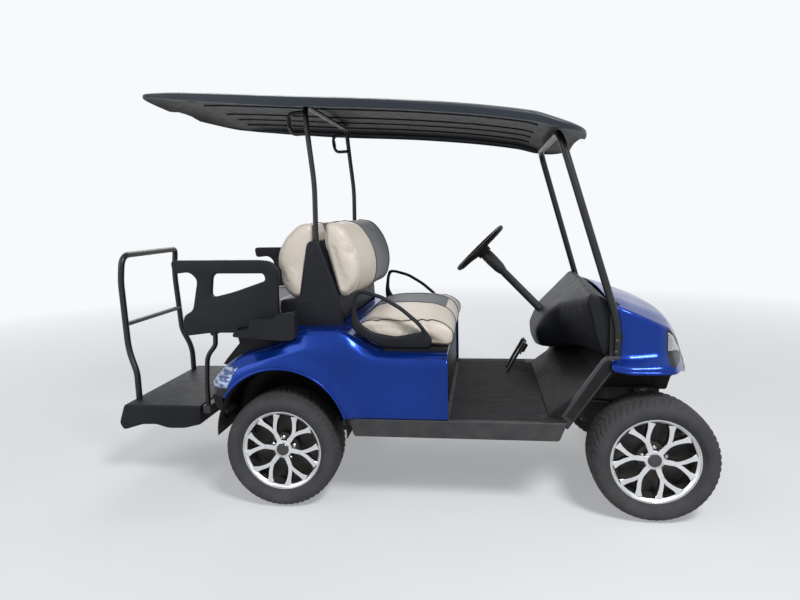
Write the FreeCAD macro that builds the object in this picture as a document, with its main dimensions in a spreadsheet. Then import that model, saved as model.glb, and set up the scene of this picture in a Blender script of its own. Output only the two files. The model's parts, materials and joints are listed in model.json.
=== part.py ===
"""Lifted four-seat golf cart with a rear-facing flip seat, modelled as an assembly of real pieces.

Frame: +X forward, +Y to the driver's side (left), +Z up. The origin is on the ground, under the
middle of the whole cart. All lengths are millimetres.
"""
import FreeCAD, Part
import math
import os
import Sketcher

DOC = FreeCAD.newDocument("golf_cart")
SHEET = DOC.addObject("Spreadsheet::Sheet", "Sizes")
VECTOR = FreeCAD.Vector
NODES = []

# Driving dimensions: alias, value in mm (degrees where the note says so), what it is
SIZES = (
    ("wheelbase", 1669, "rear axle to front axle"),
    ("rear_reach", 942, "rear axle to the rearmost point, the back of the grab bar"),
    ("tyre_radius", 271, "22 inch tyre"),
    ("tyre_width", 240, "section width"),
    ("wheel_face", 600, "centre plane to the tyre's outer face"),
    ("bead_radius", 178, "14 inch rim, where the bead sits"),
    ("bead_half", 80, "half the width between the flanges"),
    ("flange_height", 13, "rim flange above the bead"),
    ("flange_width", 9, "rim flange"),
    ("barrel_wall", 10, "rim barrel"),
    ("hub_radius", 34, "wheel hub outside"),
    ("spindle_radius", 20, "stub that carries the hub"),
    ("spoke_half", 9, "half the width of a spoke's arm"),
    ("spoke_depth", 20, "spoke along the axle"),
    ("running_fit", 0.05, "radial clearance of a shaft in its bore"),
    ("seat_gap", 0.3, "clearance where curved or moving pieces rest"),
    ("arch_lift", 84, "rear arch centre above the axle"),
    ("arch_forward", 10, "rear arch centre ahead of the axle"),
    ("arch_radius", 313, "rear wheel arch"),
    ("deck_rise", 67, "front seat deck above the arch's crown"),
    ("body_half", 600, "half the width of the lower body"),
    ("shoulder_inset", 60, "body shoulder in from the flank"),
    ("panel_wall", 8, "moulded body panels"),
    ("bay_half", 420, "half the width of the bay under the front seat"),
    ("bulkhead_half", 449, "half the width of the rear bulkhead"),
    ("frame_height", 400, "top of the chassis rails"),
    ("rail_depth", 70, "chassis rail"),
    ("rail_width", 50, "chassis rail"),
    ("rail_centre", 165, "centre plane to the rail's middle"),
    ("pan_thickness", 25, "floor pan"),
    ("mat_thickness", 15, "rubber floor mat"),
    ("sill_width", 40, "rocker panel"),
    ("sill_drop", 84, "rocker panel, top to bottom"),
    ("rear_deck_rise", 94, "rear seat deck above the front one"),
    ("seat_half", 460, "half the width of the seats"),
    ("rear_seat_half", 478, "half the width of the rear seat"),
    ("seat_crown_half", 210, "centre plane to where the front seat starts to fall away"),
    ("seat_board", 12, "board under a cushion"),
    ("power_half", 340, "half the width of the power unit"),
    ("power_length", 380, "power unit"),
    ("power_clearance", 70, "power unit's top below the front seat deck"),
    ("nose_gap", 58, "front bumper's top above the tyres"),
    ("cowl_half", 580, "half the width of the front fenders"),
    ("bumper_half", 280, "half the width of the front bumper"),
    ("dash_half", 470, "half the width of the dash"),
    ("toe_half", 485, "half the width of the toe board"),
    ("leg_width", 34, "strut leg beside the toe board"),
    ("front_strut_half", 502, "centre plane to the front strut's foot"),
    ("front_hoop_half", 438, "centre plane to the front strut under the roof"),
    ("rear_strut_half", 427, "centre plane to the rear roof strut"),
    ("front_strut_radius", 17, "front roof strut"),
    ("rear_strut_radius", 12, "rear roof strut"),
    ("strut_bend", 60, "bend radius of the strut hoops"),
    ("roof_rise", 1145, "roof edge at the rear strut above the front seat deck"),
    ("roof_half", 570, "half the width of the roof"),
    ("roof_wall", 18, "roof skin"),
    ("roof_lip_wall", 14, "roof lip"),
    ("roof_crown", 25, "rise of the roof's middle"),
    ("handle_radius", 9, "roof handle tube"),
    ("wheel_tilt", 44, "steering wheel's axis from upright, in degrees"),
    ("steer_side", 280, "centre plane to the steering wheel"),
    ("steer_radius", 160, "steering wheel rim, to the tube's middle"),
    ("steer_tube", 14, "steering wheel rim tube"),
    ("steer_hub", 42, "steering wheel hub radius"),
    ("column_radius", 22, "steering column"),
    ("kingpin_side", 330, "centre plane to the kingpin"),
    ("kingpin_radius", 12, "kingpin"),
    ("knuckle_radius", 22, "knuckle barrel"),
    ("knuckle_height", 70, "knuckle barrel"),
    ("arm_reach", 110, "kingpin to the tie rod's pin"),
    ("pin_radius", 6, "tie rod pin"),
    ("rod_radius", 9, "tie rod"),
    ("beam_radius", 22, "front axle beam"),
    ("axle_radius", 38, "rear axle tube"),
    ("drum_radius", 95, "brake drum"),
    ("leaf_width", 45, "leaf spring"),
    ("leaf_depth", 14, "leaf spring pack"),
    ("rest_half", 400, "half the width of the rear footrest"),
    ("rest_inset", 17, "footrest's rear edge ahead of the grab bar's back"),
    ("rest_wall", 8, "footrest moulding"),
    ("grab_half", 274, "half the width of the grab bar"),
    ("grab_radius", 16, "grab bar tube"),
    ("grab_bend", 55, "grab bar bends"),
    ("arm_inset", 95, "armrest's inner face in from the flank"),
    ("arm_width", 30, "armrest panel"),
    ("tray_width", 95, "armrest tray, out from its inner face"),
    ("cup_radius", 38, "cup holder"),
    ("leg_radius", 12, "rear seat leg tube"),
    ("leg_side", 360, "centre plane to the rear seat's legs"),
    ("loop_inner", 476, "centre plane to the hip restraint's inner face"),
    ("loop_width", 26, "hip restraint"),
)


class Size(float):
    """A length that remembers its formula, so that a property can be bound to the sheet."""

    def __new__(cls, value, text=None):
        size = super().__new__(cls, value)
        size.text = text if text else repr(float(value))
        return size

    def __add__(self, other):
        return Size(float(self) + float(other), f"({self.text} + {formula(other)})")

    __radd__ = __add__

    def __sub__(self, other):
        return Size(float(self) - float(other), f"({self.text} - {formula(other)})")

    def __rsub__(self, other):
        return Size(float(other) - float(self), f"({formula(other)} - {self.text})")

    def __mul__(self, other):
        return Size(float(self) * float(other), f"({self.text} * {formula(other)})")

    __rmul__ = __mul__

    def __truediv__(self, other):
        return Size(float(self) / float(other), f"({self.text} / {formula(other)})")

    def __neg__(self):
        return Size(-float(self), f"(-{self.text})")


def formula(value):
    """The sheet formula of a size, or the plain number."""
    return value.text if isinstance(value, Size) else repr(float(value))


class Sizes:
    """The driving dimensions by name."""


S = Sizes()
for row, (alias, value, note) in enumerate(SIZES, start=1):
    SHEET.set(f"A{row}", alias)
    SHEET.set(f"B{row}", str(value))
    SHEET.set(f"C{row}", note)
    SHEET.setAlias(f"B{row}", alias)
    setattr(S, alias, Size(value, f"Sizes.{alias}"))
DOC.recompute()


# Places worked out from the driving dimensions

REAR_AXLE = (S.rear_reach - S.wheelbase - S.tyre_radius) / 2
FRONT_AXLE = REAR_AXLE + S.wheelbase
AXLE_HEIGHT = S.tyre_radius
WHEEL_SIDE = S.wheel_face - S.tyre_width / 2
PAN_TOP = S.frame_height + S.pan_thickness
FLOOR = PAN_TOP + S.mat_thickness
ARCH_HEIGHT = S.tyre_radius + S.arch_lift
DECK = ARCH_HEIGHT + S.arch_radius + S.deck_rise
REAR_DECK = DECK + S.rear_deck_rise
NOSE = 2 * S.tyre_radius + S.nose_gap
ROOF = DECK + S.roof_rise
SHOULDER = S.body_half - S.shoulder_inset


def back(x):
    """Place along the cart, measured forward from the rear axle."""
    return REAR_AXLE + x


def front(x):
    """Place along the cart, measured forward from the front axle."""
    return FRONT_AXLE + x


def on(level, table, place=back):
    """Points in the cart's side view from rows of (place along the cart, rise above the level)."""
    return [(place(x), level + z) for x, z in table]


# Ways of building


def bind(thing, prop, size):
    """Set a property of an object and bind it to the sheet."""
    if isinstance(size, Size):
        thing.setExpression(prop, size.text)
    else:
        thing.setExpression(prop, repr(float(size)))


def settle(thing, x=0, y=0, z=0):
    """Put an object at a place that follows the sheet."""
    thing.Placement.Base = VECTOR(x, y, z)
    for axis, size in (("x", x), ("y", y), ("z", z)):
        if isinstance(size, Size):
            bind(thing, f"Placement.Base.{axis}", size)


def keep(thing):
    """Mark an object as a finished piece of the cart."""
    NODES.append(thing)
    return thing


def outline(body, name, plane, loops, offset=0):
    """A sketch of closed loops of lines on one of the body's own planes, every point bound."""
    sketch = body.newObject("Sketcher::SketchObject", name)
    support = [item for item in body.Origin.OriginFeatures if item.Role == plane][0]
    sketch.AttachmentSupport = (support, "")
    sketch.MapMode = "FlatFace"
    if offset:
        bind(sketch, "AttachmentOffset.Base.z", offset)
    for points in loops:
        first = sketch.GeometryCount
        count = len(points)
        ends = [VECTOR(u, v, 0) for u, v in points]
        for index in range(count):
            sketch.addGeometry(Part.LineSegment(ends[index], ends[(index + 1) % count]), False)
        for index in range(count):
            following = first + (index + 1) % count
            sketch.addConstraint(Sketcher.Constraint("Coincident", first + index, 2, following, 1))
        for index, (u, v) in enumerate(points):
            for kind, size in (("DistanceX", u), ("DistanceY", v)):
                line = first + index
                rule = sketch.addConstraint(Sketcher.Constraint(kind, -1, 1, line, 1, float(size)))
                if isinstance(size, Size):
                    bind(sketch, f"Constraints[{rule}]", size)
    return sketch


def pad(body, name, loops, low, high, plane="XZ_Plane"):
    """A pad between two levels across the sketch's plane."""
    start = -high if plane == "XZ_Plane" else low
    sketch = outline(body, name + "_outline", plane, loops, start)
    feature = body.newObject("PartDesign::Pad", name)
    feature.Profile = sketch
    bind(feature, "Length", high - low)
    body.Tip = feature
    return feature


def pocket(body, name, loops, low, high, plane="XZ_Plane"):
    """A pocket between two levels across the sketch's plane."""
    start = -low if plane == "XZ_Plane" else high
    sketch = outline(body, name + "_outline", plane, loops, start)
    feature = body.newObject("PartDesign::Pocket", name)
    feature.Profile = sketch
    bind(feature, "Length", high - low)
    body.Tip = feature
    return feature


def turn(body, name, points):
    """A ring turned about the body's Y axis, from points of (along the axis, radius)."""
    sketch = outline(body, name + "_outline", "YZ_Plane", [points])
    feature = body.newObject("PartDesign::Revolution", name)
    feature.Profile = sketch
    feature.ReferenceAxis = (sketch, ["H_Axis"])
    feature.Angle = 360
    body.Tip = feature
    return feature


def new_body(label):
    """An empty body with its label."""
    body = DOC.addObject("PartDesign::Body", label)
    body.Label = label
    return body


def prism(label, loops, low, high, plane="XZ_Plane"):
    """A body that is one pad."""
    body = new_body(label)
    pad(body, label + "_pad", loops, low, high, plane)
    return body


def block(label, x, y, z):
    """A box between two places along each axis."""
    box = DOC.addObject("Part::Box", label)
    bind(box, "Length", x[1] - x[0])
    bind(box, "Width", y[1] - y[0])
    bind(box, "Height", z[1] - z[0])
    settle(box, x[0], y[0], z[0])
    return box


TURNS = {
    "X": FreeCAD.Rotation(VECTOR(0, 1, 0), 90),
    "Y": FreeCAD.Rotation(VECTOR(1, 0, 0), -90),
    "Z": FreeCAD.Rotation(),
}


def rod(label, start, axis, radius, length):
    """A cylinder from its start, along an axis of the cart."""
    cylinder = DOC.addObject("Part::Cylinder", label)
    bind(cylinder, "Radius", radius)
    bind(cylinder, "Height", length)
    cylinder.Placement.Rotation = TURNS[axis]
    settle(cylinder, *start)
    return cylinder


def fuse(label, pieces):
    """One solid from several that meet."""
    union = DOC.addObject("Part::MultiFuse", label)
    union.Shapes = pieces
    return union


def cut(label, base, tool):
    """One piece less another."""
    remainder = DOC.addObject("Part::Cut", label)
    remainder.Base = base
    remainder.Tool = tool
    return remainder


def pair(label, half):
    """A piece on the driver's side and its mirror image on the other side, as one node."""
    image = DOC.addObject("Part::Mirroring", label + "_image")
    image.Source = half
    image.Normal = VECTOR(0, 1, 0)
    both = DOC.addObject("Part::Compound", label)
    both.Links = [half, image]
    return both


def shaped(label, shape):
    """A piece whose shape the code works out."""
    feature = DOC.addObject("Part::Feature", label)
    feature.Shape = shape
    return feature


def rounded(points, bend):
    """A wire through points, with each corner an arc that its runs have room for."""
    places = [VECTOR(*point) for point in points]
    edges = []
    last = places[0]
    for before, corner, after in zip(places, places[1:], places[2:]):
        inward = (before - corner).normalize()
        outward = (after - corner).normalize()
        half = inward.getAngle(outward) / 2
        room = 0.45 * min(before.distanceToPoint(corner), corner.distanceToPoint(after))
        reach = min(bend / math.tan(half), room)
        radius = reach * math.tan(half)
        middle = (inward + outward).normalize() * (radius / math.sin(half) - radius)
        start = corner + inward * reach
        end = corner + outward * reach
        edges.append(Part.makeLine(last, start))
        edges.append(Part.Arc(start, corner + middle, end).toShape())
        last = end
    edges.append(Part.makeLine(last, places[-1]))
    return Part.Wire(edges)


def tube(label, points, radius, bend=0.0):
    """A round bar swept along a path of runs and bends."""
    wire = rounded(points, float(bend))
    path = shaped(label + "_path", wire)
    section = DOC.addObject("Part::Circle", label + "_section")
    bind(section, "Radius", radius)
    heading = wire.Edges[0].tangentAt(wire.Edges[0].FirstParameter)
    section.Placement = FreeCAD.Placement(
        VECTOR(*points[0]), FreeCAD.Rotation(VECTOR(0, 0, 1), heading)
    )
    sweep = DOC.addObject("Part::Sweep", label)
    sweep.Sections = [section]
    sweep.Spine = (path, [f"Edge{number}" for number in range(1, len(wire.Edges) + 1)])
    sweep.Solid = True
    return sweep


def inset(points, wall):
    """A closed outline moved inwards by a wall. The points run clockwise in (x, z)."""
    moved = []
    count = len(points)
    for index in range(count):
        before, here, after = (points[(index + step) % count] for step in (-1, 0, 1))
        lines = []
        for start, end in ((before, here), (here, after)):
            along = VECTOR(end[0] - start[0], end[1] - start[1], 0).normalize()
            inward = VECTOR(along.y, -along.x, 0)
            lines.append((VECTOR(start[0], start[1], 0) + inward * wall, along))
        (origin, along), (other, across) = lines
        spread = along.x * across.y - along.y * across.x
        gap = other - origin
        straight = abs(spread) < 1e-6
        reach = 0 if straight else (gap.x * across.y - gap.y * across.x) / spread
        corner = other if straight else origin + along * reach
        moved.append((corner.x, corner.y))
    return moved


def loft(sections):
    """A solid through closed polygons of points in space."""
    wires = [Part.makePolygon([VECTOR(*p) for p in points + points[:1]]) for points in sections]
    return Part.makeLoft(wires, True, True)


# Wheels


def tyre_section():
    """The tyre's section: bead, sidewall bulge, shoulder and tread, as (across, radius)."""
    bead = S.bead_half
    flange = S.bead_radius + S.flange_height
    half = S.tyre_width / 2
    # rows of share of the way out from the flange to the widest part, share of the sidewall's height
    sidewall = ((0.12, 0.03), (0.75, 0.24), (1.0, 0.52), (0.88, 0.78), (0.5, 0.95), (0.15, 1.0))
    rise = S.tyre_radius - flange
    right = [(bead, S.bead_radius), (bead, flange)]
    edge = bead + S.flange_width
    right.append((edge, flange))
    for out, up in sidewall[1:]:
        right.append((edge + (half - edge) * out, flange + rise * up))
    return right + [(-across, radius) for across, radius in reversed(right)]


def wheel(name, x, side):
    """A rim and its tyre; side is 1 on the driver's side and -1 on the other."""
    centre = (x, WHEEL_SIDE * side, AXLE_HEIGHT)
    rim = new_body("rim_" + name)
    flange = S.bead_radius + S.flange_height
    edge = S.bead_half + S.flange_width
    inner = S.bead_radius - S.barrel_wall
    barrel = [
        (-edge, inner), (-edge, flange), (-S.bead_half, flange), (-S.bead_half, S.bead_radius),
        (S.bead_half, S.bead_radius), (S.bead_half, flange), (edge, flange), (edge, inner),
    ]
    turn(rim, "barrel_" + name, [(across * side, radius) for across, radius in barrel])
    # One Y-shaped spoke: half its outline, as (sideways, outwards) from the wheel's centre
    arm = S.spoke_half
    start = S.hub_radius - 4
    end = inner + 3
    half = [
        (arm, start), (arm, start + 50), (arm + 29, start + 113), (arm + 55, end - 13),
        (arm + 12, end - 1), (arm + 13, start + 120),
    ]
    spoke = half + [(0 * arm, start + 74)] + [(-across, out) for across, out in reversed(half)]
    outer = edge - S.flange_width
    low, high = (outer - S.spoke_depth, outer)
    if side < 0:
        low, high = -high, -low
    first = pad(rim, "spoke_" + name, [spoke], low, high)
    spokes = rim.newObject("PartDesign::PolarPattern", "spokes_" + name)
    spokes.Originals = [first]
    spokes.Axis = ([item for item in rim.Origin.OriginFeatures if item.Role == "Y_Axis"][0], [""])
    spokes.Angle = 360
    spokes.Occurrences = 6
    rim.Tip = spokes
    bore = S.spindle_radius + S.running_fit
    hub = [(-S.bead_half / 2, bore), (-S.bead_half / 2, S.hub_radius), (outer, S.hub_radius), (outer, bore)]
    turn(rim, "hub_" + name, [(across * side, radius) for across, radius in hub])
    settle(rim, *centre)
    keep(rim)
    tyre = new_body("tyre_" + name)
    turn(tyre, "section_" + name, tyre_section())
    settle(tyre, *centre)
    keep(tyre)


for name, x, side in (
    ("front_left", FRONT_AXLE, 1),
    ("front_right", FRONT_AXLE, -1),
    ("rear_left", REAR_AXLE, 1),
    ("rear_right", REAR_AXLE, -1),
):
    wheel(name, x, side)


# Chassis: rails, cross members, and the uprights and cross bar that carry the body's ends

RAIL_LOW = S.frame_height - S.rail_depth
RAIL_IN = S.rail_centre - S.rail_width / 2
RAIL_OUT = S.rail_centre + S.rail_width / 2
REST_FRONT = back(-475)
BUMPER_LOW = NOSE - 89
LEG_FOOT = back(-449)
LEG_FOOT_HEIGHT = S.frame_height + 20

members = []
for side, low, high in (("left", RAIL_IN, RAIL_OUT), ("right", -RAIL_OUT, -RAIL_IN)):
    members.append(block(f"rail_{side}", (REST_FRONT, front(160)), (low, high), (RAIL_LOW, S.frame_height)))
    members.append(block(f"horn_{side}", (front(70), front(110)), (low, high), (RAIL_LOW, BUMPER_LOW)))
for number, place in enumerate((back(-330), back(300), front(-480), front(90))):
    members.append(
        block(
            f"cross_member_{number}", (place - 25, place + 25), (-RAIL_IN, RAIL_IN),
            (RAIL_LOW + 8, S.frame_height - 8),
        )
    )
members.append(
    block(
        "leg_bar", (LEG_FOOT - 18, LEG_FOOT + 18), (-S.leg_side - 25, S.leg_side + 25),
        (S.frame_height - 20, LEG_FOOT_HEIGHT),
    )
)
keep(fuse("chassis_frame", members))

# Floor

PAN_REAR = back(300)
PAN_FRONT = front(-415)
BODY_FRONT = back(784)
PAN_SIDE = S.body_half - S.sill_width
keep(block("floor_pan", (PAN_REAR, PAN_FRONT), (-PAN_SIDE, PAN_SIDE), (S.frame_height, PAN_TOP)))
keep(
    block(
        "floor_mat", (BODY_FRONT + 6, PAN_FRONT - 30), (-PAN_SIDE, PAN_SIDE), (PAN_TOP, FLOOR),
    )
)
SILL_LOW = FLOOR - S.sill_drop
sill = [
    (back(330), FLOOR), (front(-372), FLOOR), (front(-405), SILL_LOW), (back(352), SILL_LOW),
]
keep(pair("rocker_panels", prism("rocker_left", [sill], PAN_SIDE, S.body_half)))

# Rear body: a moulded shell over the rear wheels, with the front seat's deck and the hump behind it

# place from the rear axle and rise above the deck: on the flank, then on the shoulder
BODY_ROWS = (
    (782, -35, 780, 0),
    (600, -30, 600, 0),
    (479, -22, 479, 0),
    (393, -2, 393, 40),
    (332, 18, 332, 80),
    (290, 30, 290, 112),
    (113, 28, 113, 112),
    (106, 20, 106, 58),
    (47, 6, 47, 54),
    (-63, -30, -63, 18),
    (-174, -68, -174, -9),
    (-262, -135, -285, -85),
    (-300, -190, -328, -133),
)


def body_sections(wall):
    """The rear body's side views from flank to flank, moved in by a wall and open below."""
    drop = 8 * wall
    flank = [(back(x), DECK + z) for x, z, top_x, top_z in BODY_ROWS]
    flank += [(back(-266), DECK - 202 - drop), (back(300), FLOOR - drop), (back(770), FLOOR - drop)]
    shoulder = [(back(x), DECK + z) for flank_x, flank_z, x, z in BODY_ROWS]
    shoulder += [(back(-300), DECK - 195 - drop), (back(300), FLOOR - drop), (back(766), FLOOR - drop)]
    if wall:
        flank = inset(flank[::-1], wall)[::-1]
        shoulder = inset(shoulder[::-1], wall)[::-1]
    views = (
        (-S.body_half + wall, flank),
        (-SHOULDER + wall, shoulder),
        (SHOULDER - wall, shoulder),
        (S.body_half - wall, flank),
    )
    return [[(x, y, z) for x, z in points] for y, points in views]


def side_cut(x, z, radius, y):
    """A cylinder across the cart, between two places, for a wheel arch."""
    return Part.makeCylinder(radius, y[1] - y[0], VECTOR(x, y[0], z), VECTOR(0, 1, 0))


def box_shape(x, y, z):
    """A plain box between two places along each axis."""
    return Part.makeBox(x[1] - x[0], y[1] - y[0], z[1] - z[0], VECTOR(x[0], y[0], z[0]))


ARCH_X = back(S.arch_forward)
LINER_INNER = WHEEL_SIDE - S.tyre_width / 2 - 15
BAY_REAR = back(400)
BAY_FRONT = back(740)
BULKHEAD_FRONT = back(60)
shell = loft(body_sections(0)).cut(loft(body_sections(float(S.panel_wall))))
for low, high in ((LINER_INNER, S.body_half + 1), (-S.body_half - 1, -LINER_INNER)):
    shell = shell.cut(side_cut(ARCH_X, ARCH_HEIGHT, S.arch_radius, (low, high)))
SKY = DECK + 400
shell = shell.cut(
    box_shape((BAY_REAR, BAY_FRONT), (-S.bay_half, S.bay_half), (DECK - 60, SKY))
)
BULKHEAD_GAP = S.bulkhead_half + S.seat_gap
shell = shell.cut(
    box_shape((back(-500), BULKHEAD_FRONT), (-BULKHEAD_GAP, BULKHEAD_GAP), (0, SKY))
)
LAMP_INNER = S.bulkhead_half + 60
lamp_rows = on(DECK, ((-340, -205), (-340, -110), (-170, -40), (-150, -95), (-228, -205)))
lamp_face = Part.Face(Part.makePolygon([VECTOR(x, LAMP_INNER, z) for x, z in lamp_rows + lamp_rows[:1]]))
tail_zone = lamp_face.extrude(VECTOR(0, S.body_half - LAMP_INNER + 1, 0))
tail_zones = tail_zone.fuse(tail_zone.mirror(VECTOR(0, 0, 0), VECTOR(0, 1, 0)))
TAIL_LAMPS = shaped("tail_lamps", shell.common(tail_zones))
keep(shaped("rear_body", shell.cut(tail_zones).removeSplitter()))

# Wheel arch liners: a roof that follows the arch and an inner wall

ARCH_START, ARCH_END = (12, 165)


def liner(side):
    """One arch liner on the driver's side, or its mirror image."""
    low = LINER_INNER
    high = S.body_half - 2
    roof_shape = Part.makeCylinder(
        S.arch_radius - S.seat_gap, high - low, VECTOR(ARCH_X, low, ARCH_HEIGHT), VECTOR(0, 1, 0)
    ).cut(side_cut(ARCH_X, ARCH_HEIGHT, S.arch_radius - S.panel_wall, (low + S.panel_wall, high + 1)))
    keep_out = box_shape(
        (ARCH_X - 600, ARCH_X + 600), (low - 1, high + 1), (0, DECK - 170)
    )
    roof_shape = roof_shape.cut(keep_out)
    return roof_shape if side > 0 else roof_shape.mirror(VECTOR(0, 0, 0), VECTOR(0, 1, 0))


keep(shaped("arch_liners", Part.makeCompound([liner(1), liner(-1)])))

# Rear bulkhead under the rear seat, the valance below it and the tail lamps

BULKHEAD_TOP = S.rear_deck_rise - 2 * S.leg_radius - 2 * S.seat_gap
bulkhead_rows = on(
    DECK,
    ((-222, BULKHEAD_TOP), (-214, 21), (-304, -81), (-314, -81), (-224, 21), (-234, BULKHEAD_TOP)),
)
bulkhead = prism("bulkhead_panel", [bulkhead_rows], -S.bulkhead_half, S.bulkhead_half)
valance_rows = on(
    DECK,
    (
        (-290, -197.2), (-300, -195.4), (-332, -199), (-344, -220), (-318, -281), (-278, -310), (-266, -300),
        (-290, -270),
    ),
)
valance_half = SHOULDER - 10
valance_parts = [prism("valance_panel", [valance_rows], -valance_half, valance_half)]
for side, low, high in (("left", RAIL_IN, RAIL_OUT), ("right", -RAIL_OUT, -RAIL_IN)):
    valance_parts.append(
        block(f"valance_foot_{side}", (back(-288), back(-270)), (low, high), (S.frame_height, DECK - 285))
    )
valance = fuse("valance", valance_parts)
rear_panels = DOC.addObject("Part::Compound", "rear_bulkhead")
rear_panels.Links = [bulkhead, valance]
keep(rear_panels)

# Power unit: one plain block on the floor pan, under the front seat

POWER_REAR = back(360)
keep(
    block(
        "power_unit", (POWER_REAR, POWER_REAR + S.power_length), (-S.power_half, S.power_half),
        (PAN_TOP, DECK - S.power_clearance),
    )
)

# Front cowl: the bonnet, nose and front fenders, open below

# place from the front axle, half width as a share of the cowl's, rise of the lower edge, of the
# fender's brow, of the crease and of the crown above the nose level, inset of flank from the fender
COWL_ROWS = (
    (-188, 0.96, 72, 118, 345, 392, 60),
    (-100, 1.0, 62, 118, 312, 364, 60),
    (0, 1.0, 62, 126, 265, 326, 62),
    (66, 0.96, 60, 130, 232, 296, 76),
    (112, 0.82, 52, 120, 176, 262, 60),
    (148, 0.68, 34, 92, 124, 222, 48),
    (176, 0.56, 14, 66, 84, 168, 40),
    (203, 0.44, 0, 34, 48, 88, 30),
    (224, 0.30, 0, 14, 22, 36, 20),
)


def cowl_section(row, wall):
    """One cross-section of the cowl, from fender edge to fender edge, moved in by a wall."""
    x, share, low, brow, crease, crown, flank = row
    half = S.cowl_half * share
    side = [
        (half, low), (half - 4, low + (brow - low) * 0.35), (half - flank, brow), (half - flank - 12, crease),
        (half * 0.66, crease + (crown - crease) * 0.55), (half * 0.2, crown),
    ]
    moved = [(y - wall, z - wall) for y, z in side]
    if wall:
        moved[0] = (moved[0][0], low - 1)
    loop = moved + [(-y, z) for y, z in reversed(moved)]
    return [(front(x), y, NOSE + z) for y, z in loop]


cowl_solid = loft([cowl_section(row, 0.0) for row in COWL_ROWS])
inner_rows = [(-198,) + COWL_ROWS[0][1:]] + list(COWL_ROWS[1:-1])
cowl_core = loft([cowl_section(row, float(S.panel_wall)) for row in inner_rows])
lamp_box = box_shape((front(60), front(175)), (0.58 * S.cowl_half, S.cowl_half), (NOSE + 105, NOSE + 195))
lamp_shape = cowl_solid.common(lamp_box).cut(cowl_core)
lamp_pair = Part.makeCompound([lamp_shape, lamp_shape.mirror(VECTOR(0, 0, 0), VECTOR(0, 1, 0))])
SHELF = NOSE + 350
COWL_REAR = front(-140)
rear_step = box_shape((front(-200), COWL_REAR), (-S.cowl_half, S.cowl_half), (0, SHELF))
cowl_shell = cowl_solid.cut(cowl_core).cut(lamp_box).cut(rear_step)
cowl_shell = cowl_shell.cut(lamp_box.mirror(VECTOR(0, 0, 0), VECTOR(0, 1, 0)))
keep(shaped("front_cowl", cowl_shell.removeSplitter()))
HEADLAMPS = shaped("headlamps", lamp_pair)
lamps = DOC.addObject("Part::Compound", "lamps")
lamps.Links = [HEADLAMPS, TAIL_LAMPS]
keep(lamps)

bumper_rows = on(NOSE, ((60, 0), (222, 0), (217, -14), (176, -26), (149, -89), (60, -89)), front)
keep(prism("front_bumper", [bumper_rows], -S.bumper_half, S.bumper_half))

# Dash, toe board and the legs that the front struts stand in

# the dash's side view at four places across the cart: place from the front axle, rise above the nose
DASH_VIEWS = (
    (
        S.dash_half,
        (
            (-460, 101), (-413, 212), (-229, 403), (-191, 385), (-190, 350), (-140, 350), (-140, 100), (-219, 0),
            (-327, -62), (-422, -41), (-452, 25),
        ),
    ),
    (
        S.steer_side - 180,
        (
            (-457, 120), (-413, 212), (-229, 403), (-191, 385), (-190, 350), (-140, 350), (-140, 120), (-219, 60),
            (-327, 25), (-422, 30), (-447, 70),
        ),
    ),
    (
        S.steer_side - 340,
        (
            (-339, 180), (-349, 280), (-244, 400), (-194, 382), (-190, 350), (-140, 350), (-140, 130), (-199, 85),
            (-249, 65), (-289, 75), (-319, 120),
        ),
    ),
    (
        -S.dash_half,
        (
            (-257, 280), (-281, 360), (-269, 392), (-203, 368), (-190, 350), (-140, 350), (-140, 135), (-169, 100),
            (-199, 105), (-214, 130), (-239, 200),
        ),
    ),
)


def dash_sections(wall):
    """The dash's side views from the driver's side across, moved in by a wall."""
    sections = []
    for y, table in DASH_VIEWS:
        points = on(NOSE, table, front)
        if wall:
            points = inset(points, wall)
            y = y - wall if y > S.dash_half - 1 else y
            y = y + wall if y < 1 - S.dash_half else y
        sections.append([(x, y, z) for x, z in points])
    return sections


TILT = math.radians(S.wheel_tilt)
AXIS = VECTOR(-math.sin(TILT), 0, math.cos(TILT))
STEER_CENTRE = (front(-748), S.steer_side, NOSE + 552)
hub_place = VECTOR(*STEER_CENTRE)
COLUMN_TOP = 46
COLUMN_LENGTH = 470
dash_shape = loft(dash_sections(0)).cut(loft(dash_sections(float(S.panel_wall))))
dash_back = box_shape(
    (COWL_REAR - 2 * S.panel_wall, COWL_REAR + 1), (-S.dash_half + 40, S.dash_half - 40), (NOSE + 160, SHELF - 30)
)
dash_shape = dash_shape.cut(dash_back)
column_end = hub_place - AXIS * (COLUMN_TOP + COLUMN_LENGTH + 100)
column_hole = Part.makeCylinder(
    S.column_radius + S.seat_gap, COLUMN_LENGTH + 100, column_end, AXIS
)
keep(shaped("dash", dash_shape.cut(column_hole)))

toe_rows = [
    (PAN_FRONT - 30, PAN_TOP), (PAN_FRONT - 30, PAN_TOP + 22), (front(-327), NOSE - 63),
    (front(-219), NOSE - 1), (front(-142), NOSE + 96), (front(-142), NOSE + 70), (front(-208), NOSE - 16),
    (front(-314), NOSE - 78), (PAN_FRONT, PAN_TOP),
]
toe_parts = [prism("toe_panel", [toe_rows], -S.toe_half, S.toe_half)]
LEG_TOP = NOSE + 122
leg_rows = [
    (front(-396), FLOOR), (front(-222), NOSE + 100), (front(-200), LEG_TOP), (front(-142), LEG_TOP),
    (front(-150), LEG_TOP - 26), (front(-361), FLOOR - 50), (front(-371), FLOOR - 50), (front(-371), FLOOR),
]
for name, side in (("left", 1), ("right", -1)):
    span = sorted((S.toe_half * side, (S.toe_half + S.leg_width) * side))
    toe_parts.append(prism(f"strut_leg_{name}", [leg_rows], *span))
keep(fuse("toe_board", toe_parts))

# Roof: a shallow moulded pan with a lip all round, raked down to the front

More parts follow.
